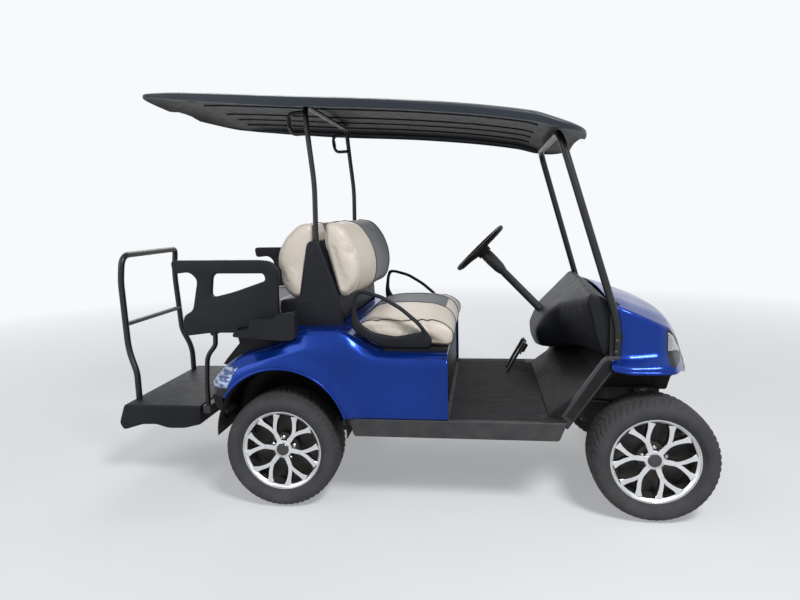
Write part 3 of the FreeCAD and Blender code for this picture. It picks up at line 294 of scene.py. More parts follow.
def new_piece(
    name: str, points: Array, faces: Sequence[Sequence[int]], inside: Point | None = None,
    crease: float = 35.0,
) -> Piece:
    """Put points and faces into a mesh, and finish it.

    Args:
        name: The piece's name.
        points: Points as rows of x, y, z.
        faces: Faces as rows of point numbers.
        inside: For an open sheet, a place behind it.
        crease: Edges sharper than this angle, in degrees, stay sharp.

    Returns:
        The new object, at the origin.
    """
    mesh = bpy.data.meshes.new(name)
    mesh.from_pydata(np.asarray(points).reshape(-1, 3).tolist(), [], [list(map(int, face)) for face in faces])
    return finish_mesh(name, mesh, inside, crease)


def finish_mesh(name: str, mesh: bpy.types.Mesh, inside: Point | None = None, crease: float = 35.0) -> Piece:
    """Weld a mesh, turn its faces outward, shade it smooth and put it in the scene.

    Args:
        name: The piece's name.
        mesh: The mesh.
        inside: For an open sheet, a place behind it, which its faces look away from on the whole.
        crease: Edges sharper than this angle, in degrees, stay sharp.

    Returns:
        The new object, at the origin.
    """
    work = bmesh.new()
    work.from_mesh(mesh)
    bmesh.ops.remove_doubles(work, verts=work.verts, dist=2e-6)
    bmesh.ops.dissolve_degenerate(work, edges=work.edges, dist=1e-6)
    bmesh.ops.recalc_face_normals(work, faces=work.faces)
    if inside is not None:
        centre = Vector(inside)
        facing = sum(
            (face.calc_center_median() - centre).dot(face.normal) * face.calc_area() for face in work.faces
        )
        if facing < 0:
            bmesh.ops.reverse_faces(work, faces=work.faces)
    work.to_mesh(mesh)
    work.free()
    mesh.shade_smooth()
    mesh.set_sharp_from_angle(angle=math.radians(crease))
    piece = bpy.data.objects.new(name, mesh)
    bpy.context.scene.collection.objects.link(piece)
    return piece


def made_real(piece: Piece) -> bpy.types.Mesh:
    """Copy the mesh that an object has with its modifiers or its curve worked out."""
    bpy.context.view_layer.update()
    return bpy.data.meshes.new_from_object(piece.evaluated_get(bpy.context.evaluated_depsgraph_get()))


def read_rows(items: bpy.types.bpy_prop_collection, name: str) -> Array:
    """Read one vector of each vertex or face.

    Args:
        items: The mesh's vertices or faces.
        name: The vector's name, such as co, center or normal.

    Returns:
        Rows of x, y, z.
    """
    values = np.empty(len(items) * 3)
    items.foreach_get(name, values)
    return values.reshape(-1, 3)


def swept(path: Array, section: Array, scale: Array | None = None) -> Shape:
    """Carry a closed section along a path and close its two ends.

    Args:
        path: Points along the path.
        section: The section's (first side, second side) points.
        scale: How large the section is at each point of the path.

    Returns:
        The shape.
    """
    first, second = frames_along(path)
    size = np.ones(len(path)) if scale is None else scale
    points = (
        path[:, None]
        + first[:, None] * (section[None, :, :1] * size[:, None, None])
        + second[:, None] * (section[None, :, 1:] * size[:, None, None])
    )
    return points.reshape(-1, 3), capped_faces(*points.shape[:2])


def circle(radius: float, sides: int = 20) -> Array:
    """Points of a circle as (first side, second side)."""
    angle = np.linspace(0, 2 * math.pi, sides, endpoint=False)
    return np.stack([np.cos(angle), np.sin(angle)], axis=1) * radius


def superellipse(half_wide: float, half_high: float, power: float = 4.0, sides: int = 24) -> Array:
    """Points of a rounded rectangle: each axis is the signed power 2/power of a circle's cosine or sine.

    Args:
        half_wide: Half the width.
        half_high: Half the height.
        power: 2 is an ellipse, and more is squarer.
        sides: Number of points.

    Returns:
        Points as (first side, second side).
    """
    unit = circle(1.0, sides)
    shaped = np.sign(unit) * np.abs(unit) ** (2 / power)
    return shaped * np.array([half_wide, half_high])


def merged(shapes: Sequence[Shape]) -> Shape:
    """Join several shapes into one, with their faces renumbered.

    Args:
        shapes: The shapes.

    Returns:
        One shape.
    """
    points, faces, start = [], [], 0
    for places, quads in shapes:
        points.append(np.asarray(places).reshape(-1, 3))
        faces += [[int(number) + start for number in face] for face in quads]
        start += len(points[-1])
    return np.concatenate(points), faces


def tube(path: Sequence[Point], radius: float, bend: float = 0.06, sides: int = 20) -> Shape:
    """A bent tube: a circle carried along a path with rounded corners."""
    return swept(rounded_path(path, bend), circle(radius, sides))


def turned(profile: Rows, centre: Point, axis: Point, sides: int = 48) -> Shape:
    """Turn a profile of (radius, place along the axis) about an axis.

    Args:
        profile: Points of the profile; radius zero closes an end.
        centre: Where the axis's zero lies.
        axis: The axis's direction.
        sides: Points round.

    Returns:
        The shape.
    """
    along = np.asarray(axis, dtype=float)
    along /= np.linalg.norm(along)
    guide = np.eye(3)[int(np.argmin(np.abs(along)))]
    first = np.cross(along, guide)
    first /= np.linalg.norm(first)
    second = np.cross(along, first)
    rows = np.asarray(profile, dtype=float)
    unit = circle(1.0, sides)
    round_about = unit[:, :1] * first + unit[:, 1:] * second
    points = np.asarray(centre) + rows[:, None, :1] * round_about[None] + rows[:, None, 1:] * along
    return points.reshape(-1, 3), grid_faces(len(rows), sides, ring=True).tolist()


def both_sides(shape: Shape) -> list[Shape]:
    """A shape and its mirror image across the centre plane."""
    points, faces = shape
    return [(points, faces), (np.asarray(points).reshape(-1, 3) * MIRROR, faces)]


def drawn_in(loops: Array, inset: Array, least: float = 0.05) -> Array:
    """Draw side-view outlines in: each point moves towards its outline's middle, by a share of its distance.

    Args:
        loops: Outlines shaped (outline, point, 2).
        inset: How far each outline's points move.
        least: Points nearer to the middle than this move as if they were this far from it.

    Returns:
        The outlines, drawn in.
    """
    middle = loops.mean(axis=1, keepdims=True)
    offset = loops - middle
    length = np.linalg.norm(offset, axis=2, keepdims=True)
    return middle + offset * (1 - inset[:, None, None] / np.maximum(length, least))


def end_rounding(near_end: Array, radius: float) -> Array:
    """How far sections draw in near an end: what a quarter circle of a radius leaves, by the way to the end."""
    return radius - np.sqrt(np.maximum(radius**2 - np.maximum(radius - near_end, 0) ** 2, 0))


def side_loft(loops: Array, across: Array) -> Shape:
    """Stand side-view outlines across the cart, one at each place, and close the two ends."""
    points = spread(loops[..., 0], across[:, None], loops[..., 1])
    return points.reshape(-1, 3), capped_faces(*points.shape[:2])


def plate(
    name: str, loops: Sequence[Array], low: float, high: float, bevel: float, sides: Sequence[int] = (1,)
) -> Piece:
    """Cut a plate from closed side-view outlines, with rounded edges all round.

    Args:
        name: The piece's name.
        loops: Outlines as (x, z) rows, the first outside and the rest holes.
        low: Lowest place across the cart.
        high: Highest place across the cart.
        bevel: Radius of the rounded edges.
        sides: 1 for the side as given, -1 for its mirror image.

    Returns:
        The new object.
    """
    curve = bpy.data.curves.new(name, "CURVE")
    curve.dimensions = "2D"
    curve.fill_mode = "BOTH"
    for outline in loops:
        spline = curve.splines.new("POLY")
        spline.points.add(len(outline) - 1)
        flat = np.column_stack([outline, np.zeros(len(outline)), np.ones(len(outline))])
        spline.points.foreach_set("co", flat.ravel().astype(np.float32))
        spline.use_cyclic_u = True
    curve.extrude = (high - low) / 2 - bevel
    curve.bevel_depth = bevel
    curve.bevel_resolution = 2
    curve.offset = -bevel
    holder = bpy.data.objects.new(name, curve)
    bpy.context.scene.collection.objects.link(holder)
    mesh = made_real(holder)
    bpy.data.objects.remove(holder)
    along, up, out = read_rows(mesh.vertices, "co").T
    faces = [list(polygon.vertices) for polygon in mesh.polygons]
    bpy.data.meshes.remove(mesh)
    middle = (low + high) / 2
    shapes = [(spread(along, side * (middle + out), up), faces) for side in sides]
    return new_piece(name, *merged(shapes), crease=40.0)


# Finishes


class Grain(Enum):
    """The pattern of a finish's fine relief."""

    SPECKLE = "speckle"
    PEBBLE = "pebble"
    WEAVE = "weave"
    BRUSHED = "brushed"


class Graph:
    """The nodes of one material."""

    def __init__(self, name: str) -> None:
        """Start an empty material with its surface shader.

        Args:
            name: The material's name.
        """
        self.material = bpy.data.materials.new(name)
        self.material.use_nodes = True
        self.tree = self.material.node_tree
        self.tree.nodes.clear()
        self.surface = self.add("ShaderNodeBsdfPrincipled")
        self.output = self.add("ShaderNodeOutputMaterial")
        self.join(self.surface.outputs["BSDF"], self.output.inputs["Surface"])
        self.place = self.add("ShaderNodeTexCoord").outputs["Object"]

    def add(self, kind: str) -> bpy.types.Node:
        """Add one node."""
        return self.tree.nodes.new(kind)

    def join(self, source: Socket, target: Socket) -> None:
        """Link two sockets."""
        self.tree.links.new(source, target)

    def set(self, values: dict[str, float]) -> None:
        """Set sockets of the surface shader that stay the same all over."""
        for name, number in values.items():
            self.surface.inputs[name].default_value = number

    def mapped(
        self, kind: str, place: Socket | None = None, values: dict[str, float | Point] | None = None
    ) -> bpy.types.NodeOutputs:
        """Add a node that reads a place, and set its other sockets.

        Args:
            kind: The kind of node.
            place: What it reads, where that isn't the object coordinates.
            values: Values of its sockets, by name.

        Returns:
            The node's outputs.
        """
        node = self.add(kind)
        self.join(place or self.place, node.inputs["Vector"])
        for name, value in (values or {}).items():
            node.inputs[name].default_value = value
        return node.outputs

    def split(self) -> bpy.types.NodeOutputs:
        """Object coordinates as X, Y and Z."""
        return self.mapped("ShaderNodeSeparateXYZ")

    def stretched(self, scale: Point) -> Socket:
        """Object coordinates scaled along each axis."""
        return self.mapped("ShaderNodeMapping", values={"Scale": scale})["Vector"]

    def noise(self, scale: float, detail: float = 3.0, place: Socket | None = None) -> Socket:
        """Cloudy noise at a scale, on object coordinates or a stretched copy of them."""
        return self.mapped("ShaderNodeTexNoise", place, {"Scale": scale, "Detail": detail})["Fac"]

    def cells(self, scale: float) -> Socket:
        """Distance to the nearest of scattered points."""
        return self.mapped("ShaderNodeTexVoronoi", values={"Scale": scale})["Distance"]

    def waves(self, scale: Point) -> Socket:
        """Even waves on a stretched copy of the object coordinates."""
        return self.mapped("ShaderNodeTexWave", self.stretched(scale), {"Scale": 1.0})["Fac"]

    def span(self, value: Socket, low: float, high: float, to_low: float = 0.0, to_high: float = 1.0) -> Socket:
        """Map a value from one range to another, held at its ends.

        Args:
            value: The value.
            low: Where its range starts.
            high: Where its range ends.
            to_low: Where the new range starts.
            to_high: Where the new range ends.

        Returns:
            The mapped value.
        """
        node = self.add("ShaderNodeMapRange")
        self.join(value, node.inputs["Value"])
        for name, number in (("From Min", low), ("From Max", high), ("To Min", to_low), ("To Max", to_high)):
            node.inputs[name].default_value = number
        return node.outputs["Result"]

    def sums(self, kind: str, first: Socket, second: Socket | float) -> Socket:
        """Join two values by one arithmetic step.

        Args:
            kind: The step, such as ADD, MULTIPLY or ABSOLUTE.
            first: The first value.
            second: The second value, or a number.

        Returns:
            The result.
        """
        node = self.add("ShaderNodeMath")
        node.operation = kind
        self.join(first, node.inputs[0])
        if isinstance(second, float):
            node.inputs[1].default_value = second
        else:
            self.join(second, node.inputs[1])
        return node.outputs["Value"]

    def mixed(self, share: Socket, first: Colour | Socket, second: Colour | Socket) -> Socket:
        """Blend two colours.

        Args:
            share: How much of the second there is.
            first: The first colour.
            second: The second colour.

        Returns:
            The blend.
        """
        node = self.add("ShaderNodeMix")
        node.data_type = "RGBA"
        self.join(share, node.inputs[0])
        for index, colour in ((6, first), (7, second)):
            if isinstance(colour, Socket):
                self.join(colour, node.inputs[index])
            else:
                node.inputs[index].default_value = (*colour, 1.0)
        return node.outputs[2]

    def relief(self, height: Socket, strength: float, depth: float) -> None:
        """Bump the surface by a height, over any bump that it has.

        Args:
            height: The height.
            strength: The bump's strength.
            depth: How far the height reaches, in metres.
        """
        node = self.add("ShaderNodeBump")
        node.inputs["Strength"].default_value = strength
        node.inputs["Distance"].default_value = depth
        self.join(height, node.inputs["Height"])
        taken = self.surface.inputs["Normal"]
        if taken.is_linked:
            self.join(taken.links[0].from_socket, node.inputs["Normal"])
        self.join(node.outputs["Normal"], taken)


@dataclass(frozen=True)
class Finish:
    """A surface's colour, gloss, relief and dust."""

    name: str
    colour: Colour
    shade: Colour
    roughness: float = 0.5
    metallic: float = 0.0
    # size of the colour's clouds, as a scale of noise
    cloud: float = 9.0
    grain: Grain = Grain.SPECKLE
    grain_scale: float = 900.0
    depth: float = 0.0001
    strength: float = 0.2
    coat: float = 0.0
    coat_roughness: float = 0.1
    sheen: float = 0.0
    dust: float = 0.0
    dust_colour: Colour = (0.30, 0.27, 0.23)
    # height at which the dust ends
    dust_top: float = 0.75
    level: float = 0.5
    # black areas: each is a group of planes (a, b, c, d), inside where a X + b |Y| + c Z > d for all of them
    black: tuple = ()

    def material(self) -> bpy.types.Material:
        """Build the finish's material once, and hand it back after that."""
        return build_finish(self)


def black_share(graph: Graph, areas: tuple) -> Socket:
    """Tell where a paint turns black: the largest, over the areas, of the product of their planes' steps.

    Args:
        graph: The material.
        areas: Groups of planes (a, b, c, d).

    Returns:
        A share from 0, painted, to 1, black.
    """
    blend = 0.0008
    split, joined = graph.split(), graph.add("ShaderNodeCombineXYZ")
    graph.join(split["X"], joined.inputs["X"])
    graph.join(graph.sums("ABSOLUTE", split["Y"], 0.0), joined.inputs["Y"])
    graph.join(split["Z"], joined.inputs["Z"])
    whole = None
    for planes in areas:
        share = None
        for *direction, limit in planes:
            dot = graph.add("ShaderNodeVectorMath")
            dot.operation = "DOT_PRODUCT"
            graph.join(joined.outputs["Vector"], dot.inputs[0])
            dot.inputs[1].default_value = direction
            step = graph.span(dot.outputs["Value"], limit - blend, limit + blend)
            share = step if share is None else graph.sums("MULTIPLY", share, step)
        whole = share if whole is None else graph.sums("MAXIMUM", whole, share)
    return whole


def add_grain(graph: Graph, finish: Finish, colour: Socket, gloss: Socket) -> tuple[Socket, Socket]:
    """Give a material the fine relief of its grain, with what the relief does to its colour and gloss.

    Args:
        graph: The material.
        finish: The finish.
        colour: Its colour so far.
        gloss: Its roughness so far.

    Returns:
        The colour and the roughness.
    """
    scale, strength, depth = finish.grain_scale, finish.strength, finish.depth
    if finish.grain is Grain.SPECKLE:
        fine = graph.noise(scale, 2.0)
        flake = tuple(min(1.0, part * 2.2 + 0.01) for part in finish.colour)
        colour = graph.mixed(graph.span(fine, 0.56, 0.66, 0.0, 0.35), colour, flake)
        graph.relief(fine, strength, depth)
    elif finish.grain is Grain.PEBBLE:
        pebbles = graph.cells(scale)
        graph.relief(pebbles, strength, depth)
        graph.relief(graph.noise(scale * 0.11, 6.0), strength * 0.5, depth * 3)
        # painted shade: a darker copy of the colour, mixed in where the cells' distance is large, between the pebbles
        hollow = tuple(part * 0.62 for part in finish.colour)
        colour = graph.mixed(graph.span(pebbles, 0.0, 0.7, 0.0, 0.22), colour, hollow)
    elif finish.grain is Grain.WEAVE:
        for stretch in ((scale, 20.0, 20.0), (20.0, scale, 20.0)):
            graph.relief(graph.waves(stretch), strength, depth)
    elif finish.grain is Grain.BRUSHED:
        lines = graph.noise(1.0, 2.0, graph.stretched((40.0, scale, 40.0)))
        graph.relief(lines, strength, depth)
        gloss = graph.span(lines, 0.3, 0.7, finish.roughness - 0.06, finish.roughness + 0.08)
    return colour, gloss


def add_dust(graph: Graph, finish: Finish, colour: Socket, gloss: Socket) -> tuple[Socket, Socket]:
    """Lay dust on a material in patches, more of it towards the ground.

    Args:
        graph: The material.
        finish: The finish.
        colour: Its colour so far.
        gloss: Its roughness so far.

    Returns:
        The colour and the roughness.
    """
    ground = 0.05
    lowness = graph.span(graph.split()["Z"], finish.dust_top, ground)
    patches = graph.span(graph.noise(14.0, 6.0), 0.38, 0.72, 0.1, 1.0)
    share = graph.sums("MULTIPLY", graph.sums("MULTIPLY", lowness, patches), finish.dust)
    rougher = graph.sums("ADD", gloss, graph.sums("MULTIPLY", share, 0.5))
    return graph.mixed(share, colour, finish.dust_colour), graph.sums("MINIMUM", rougher, 0.95)


@cache
def build_finish(finish: Finish) -> bpy.types.Material:
    """Make a finish's nodes: clouded colour, uneven gloss, relief by its grain, and dust towards the ground.

    Args:
        finish: The finish.

    Returns:
        The material.
    """
    graph = Graph(finish.name)
    clouds = graph.span(graph.noise(finish.cloud, 5.0), 0.35, 0.65)
    colour = graph.mixed(clouds, finish.colour, finish.shade)
    uneven = graph.noise(finish.cloud * 3.1, 4.0)
    gloss = graph.span(uneven, 0.3, 0.7, finish.roughness - 0.05, finish.roughness + 0.06)
    colour, gloss = add_grain(graph, finish, colour, gloss)
    if finish.dust > 0:
        colour, gloss = add_dust(graph, finish, colour, gloss)
    if finish.black:
        share = black_share(graph, finish.black)
        colour = graph.mixed(share, colour, BLACK_MOULDING.colour)
        gloss = graph.sums("MAXIMUM", gloss, graph.sums("MULTIPLY", share, 0.5))
        graph.join(graph.span(share, 0.0, 1.0, finish.metallic, 0.0), graph.surface.inputs["Metallic"])
    graph.join(colour, graph.surface.inputs["Base Color"])
    graph.join(gloss, graph.surface.inputs["Roughness"])
    graph.set({
        "Metallic": finish.metallic, "Specular IOR Level": finish.level, "Coat Weight": finish.coat,
        "Coat Roughness": finish.coat_roughness, "Sheen Weight": finish.sheen,
    })
    return graph.material


def strut_side(slope: float) -> tuple[float, float, float, float]:
    """A plane before the black area beside a strut, which leans by a slope about a place on the strut."""
    return (-1, 0, slope, slope * (NOSE + 0.20) - FRONT_AXLE + 0.134)


BLUE = Finish(
    "metallic_blue", (0.001, 0.024, 0.20), (0.002, 0.032, 0.245), roughness=0.25, metallic=0.66, cloud=3.0,
    grain_scale=1900.0, depth=0.00003, strength=0.08, coat=0.22, coat_roughness=0.05, dust=0.02,
    dust_top=0.72, level=0.25,
)
REAR_BLUE = replace(BLUE, name="rear_blue", black=(((0, 0, -1, -(DECK - 0.156)), (-1, 0, 0, 0.655)),))
FRONT_BLUE = replace(
    BLUE,
    name="front_blue",
    black=(
        # round the headlamps
        ((1, 0, 0, FRONT_AXLE + 0.050), (-1, 0, 0, -FRONT_AXLE - 0.152), (0, 1, 0, 0.262),
         (0, 0, 1, NOSE + 0.086), (-0.9, 0, -1, -0.9 * (FRONT_AXLE + 0.06) - NOSE - 0.235)),
        # beside the struts
        ((0, 1, 0, 0.40), (0, 0, 1, NOSE + 0.120), strut_side(-0.25), strut_side(0.25),
         (0, 0, -1, -NOSE - 0.325)),
        # the nose
        ((1, 0, 0, FRONT_AXLE + 0.163), (0.25, 0, -1, 0.25 * (FRONT_AXLE + 0.163) - NOSE - 0.098)),
    ),
)
ROOF_GREY = Finish(
    "roof_graphite", (0.009, 0.013, 0.020), (0.012, 0.017, 0.026), roughness=0.42, cloud=4.0,
    grain_scale=1500.0, depth=0.00005, strength=0.14, coat=0.1, coat_roughness=0.35, level=0.3,
)
CHARCOAL = Finish(
    "charcoal_moulding", (0.008, 0.009, 0.0125), (0.011, 0.0125, 0.0165), roughness=0.52, cloud=6.0,
    grain=Grain.PEBBLE, depth=0.00012, strength=0.25, level=0.2,
)
BLACK_TUBE = Finish(
    "black_powder_coat", (0.005, 0.005, 0.006), (0.008, 0.008, 0.009), roughness=0.38, cloud=8.0,
    grain_scale=1300.0, depth=0.00005, strength=0.15, coat=0.15, coat_roughness=0.3, level=0.35,
)
BLACK_MOULDING = Finish(
    "black_moulding", (0.006, 0.006, 0.007), (0.010, 0.010, 0.011), cloud=7.0, grain=Grain.PEBBLE,
    grain_scale=1000.0, dust=0.15, dust_top=0.62, level=0.2,
)
STONE = Finish(
    "stone_vinyl", (0.56, 0.50, 0.43), (0.62, 0.56, 0.485), cloud=5.0, grain=Grain.PEBBLE, grain_scale=650.0,
    depth=0.00025, strength=0.32, sheen=0.12,
)
SLATE_INSERT = Finish(
    "slate_insert", (0.060, 0.066, 0.080), (0.080, 0.086, 0.10), roughness=0.62, cloud=6.0, grain=Grain.WEAVE,
    grain_scale=1500.0, depth=0.0003, strength=0.35, sheen=0.3,
)
PIPING = Finish(
    "dark_piping", (0.022, 0.022, 0.025), (0.032, 0.032, 0.035), roughness=0.45, cloud=20.0,
    grain=Grain.PEBBLE,
)
TYRE = Finish(
    "tyre_rubber", (0.038, 0.038, 0.040), (0.045, 0.045, 0.047), roughness=0.78, cloud=12.0,
    grain_scale=700.0, dust=0.2, dust_colour=(0.15, 0.15, 0.152), dust_top=0.9, level=0.25,
)
SILVER = Finish(
    "machined_silver", (0.70, 0.71, 0.73), (0.76, 0.77, 0.79), roughness=0.32, metallic=0.80, cloud=7.0,
    grain=Grain.BRUSHED, grain_scale=700.0, depth=0.00003, strength=0.15, coat=0.3, coat_roughness=0.08,
)
RIM_BLACK = Finish(
    "gloss_black", (0.008, 0.008, 0.009), (0.013, 0.013, 0.014), roughness=0.2, grain_scale=1500.0,
    depth=0.00002, strength=0.08, coat=0.7, coat_roughness=0.06, dust=0.2, dust_top=0.4,
)
RUBBER = Finish(
    "ribbed_rubber", (0.014, 0.014, 0.016), (0.020, 0.020, 0.022), roughness=0.72, grain_scale=800.0,
    dust=0.15, dust_colour=(0.14, 0.13, 0.12), dust_top=0.62, level=0.2,
)
ROCKER = Finish(
    "rocker_grey", (0.030, 0.031, 0.034), (0.038, 0.039, 0.043), metallic=0.1, cloud=6.0, grain_scale=1000.0,
    depth=0.00006, strength=0.15, dust=0.25, dust_top=0.6, level=0.3,
)
CHASSIS = Finish(
    "chassis_black", (0.014, 0.014, 0.015), (0.022, 0.021, 0.020), cloud=10.0, grain_scale=600.0,
    strength=0.25, dust=0.5, dust_top=0.55,
)
AXLE = Finish(
    "axle_paint", (0.045, 0.045, 0.048), (0.07, 0.068, 0.065), roughness=0.45, metallic=0.6, cloud=14.0,
    grain_scale=500.0, depth=0.0002, strength=0.3, dust=0.5, dust_top=0.6,
)
PLATED = Finish(
    "plated_steel", (0.52, 0.52, 0.53), (0.60, 0.60, 0.60), roughness=0.28, metallic=1.0, cloud=20.0,
    grain=Grain.BRUSHED, depth=0.00003, strength=0.1,
)
LAMP_SILVER = Finish(
    "lamp_reflector", (0.78, 0.79, 0.80), (0.70, 0.72, 0.74), roughness=0.12, metallic=1.0, cloud=30.0,
    grain_scale=300.0, depth=0.0004, strength=0.4,
)
CASE_GREY = Finish(
    "cast_case", (0.10, 0.10, 0.105), (0.13, 0.13, 0.135), metallic=0.4, cloud=8.0, grain_scale=400.0,
    depth=0.0003, strength=0.3, dust=0.3,
)
SHROUD_GREY = Finish(
    "shroud_grey", (0.022, 0.023, 0.026), (0.030, 0.031, 0.035), cloud=7.0, grain=Grain.PEBBLE,
    grain_scale=1000.0,
)


@cache
def clear_lens() -> bpy.types.Material:
    """Make a clear moulded lens with fine flutes in its back.

    Returns:
        The material.
    """
    graph = Graph("clear_lens")
    tint = (0.92, 0.95, 0.97)
    clouds = graph.span(graph.noise(25.0, 2.0), 0.3, 0.7)
    darker = tuple(part * 0.95 for part in tint)
    graph.join(graph.mixed(clouds, tint, darker), graph.surface.inputs["Base Color"])
    graph.set({"Roughness": 0.05, "Transmission Weight": 0.85, "IOR": 1.49, "Coat Weight": 0.5})
    graph.relief(graph.waves((1.0, 160.0, 1.0)), 0.15, 0.0004)
    return graph.material


@cache
def painted_reflection_lens() -> bpy.types.Material:
    """Make the tail lamp's lens: light silver-blue patches on dark blue, a painted reflection, over a faceted bump and
    under a clear coat.

    Returns:
        The material.
    """
    graph = Graph("tail_lamp_painted_reflection")
    facet_bump_and_reflection = graph.noise(26.0, 1.0, graph.stretched((1.0, 1.0, 2.6)))
    # painted reflection: light silver-blue patches mixed into the dark blue base colour by the facet noise
    painted_reflection = graph.mixed(graph.span(facet_bump_and_reflection, 0.42, 0.58), (0.02, 0.05, 0.19), (0.34, 0.42, 0.60))
    graph.join(painted_reflection, graph.surface.inputs["Base Color"])
    graph.relief(facet_bump_and_reflection, 0.4, 0.004)
    graph.set({"Metallic": 0.55, "Roughness": 0.22, "Coat Weight": 1.0, "Coat Roughness": 0.03})
    return graph.material


@cache
def seat_vinyl(name: str, insert: float, front: float) -> bpy.types.Material:
    """Stone vinyl with a slate insert between two seams.

    Args:
        name: The material's name.
        insert: Centre plane to the insert's edge.
        front: Where the insert ends along the cart.

    Returns:
        The material.
    """
    seam = 0.001
    graph = Graph(name)
    split = graph.split()
    across = graph.sums("ABSOLUTE", split["Y"], 0.0)
    inside = graph.sums(
        "MULTIPLY", graph.span(across, insert + seam, insert - seam),
        graph.span(split["X"], front + seam, front - seam),
    )
    clouds = graph.span(graph.noise(STONE.cloud, 5.0), 0.35, 0.65)
    stone = graph.mixed(clouds, STONE.colour, STONE.shade)
    slate = graph.mixed(clouds, SLATE_INSERT.colour, SLATE_INSERT.shade)
    graph.join(graph.mixed(inside, stone, slate), graph.surface.inputs["Base Color"])
    gloss = graph.span(inside, 0.0, 1.0, STONE.roughness, SLATE_INSERT.roughness)
    graph.join(gloss, graph.surface.inputs["Roughness"])
    graph.relief(graph.cells(STONE.grain_scale), STONE.strength, STONE.depth)
    graph.relief(graph.noise(60.0, 6.0), 0.15, 0.0008)
    graph.set({"Sheen Weight": STONE.sheen})
    return graph.material


def dress(
    piece: Piece, finish: Finish | bpy.types.Material, stands_for: Sequence[str] = (),
    body: str = "root",
) -> None:
    """Give a piece its material, its body and the nodes that it stands for.

    Args:
        piece: The piece.
        finish: Its finish, or a ready material.
        stands_for: Nodes that it replaces.
        body: The body that it rides on.
    """
    piece.data.materials.clear()
    piece.data.materials.append(finish.material() if isinstance(finish, Finish) else finish)
    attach(piece, body)
    if stands_for:
        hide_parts(*stands_for)
    LOG.info("%s: %d faces", piece.name, len(piece.data.polygons))


def paint_faces(piece: Piece, chosen: Array, number: int) -> None:
    """Give chosen faces another of the piece's materials.

    Args:
        piece: The piece.
        chosen: True for each face to paint.
        number: The number of the material.
    """
    faces = piece.data.polygons
    numbers = np.zeros(len(faces), dtype=np.int32)
    faces.foreach_get("material_index", numbers)
    numbers[chosen] = number
    faces.foreach_set("material_index", numbers)
    piece.data.update()


def walled(piece: Piece, wall: float) -> None:
    """Give a sheet its wall, inward from its faces.

    Args:
        piece: The sheet.
        wall: The wall's thickness.
    """
    solid = piece.modifiers.new("wall", "SOLIDIFY")
    solid.thickness = wall
    solid.offset = -1.0
    solid.use_rim = True


# Wheels


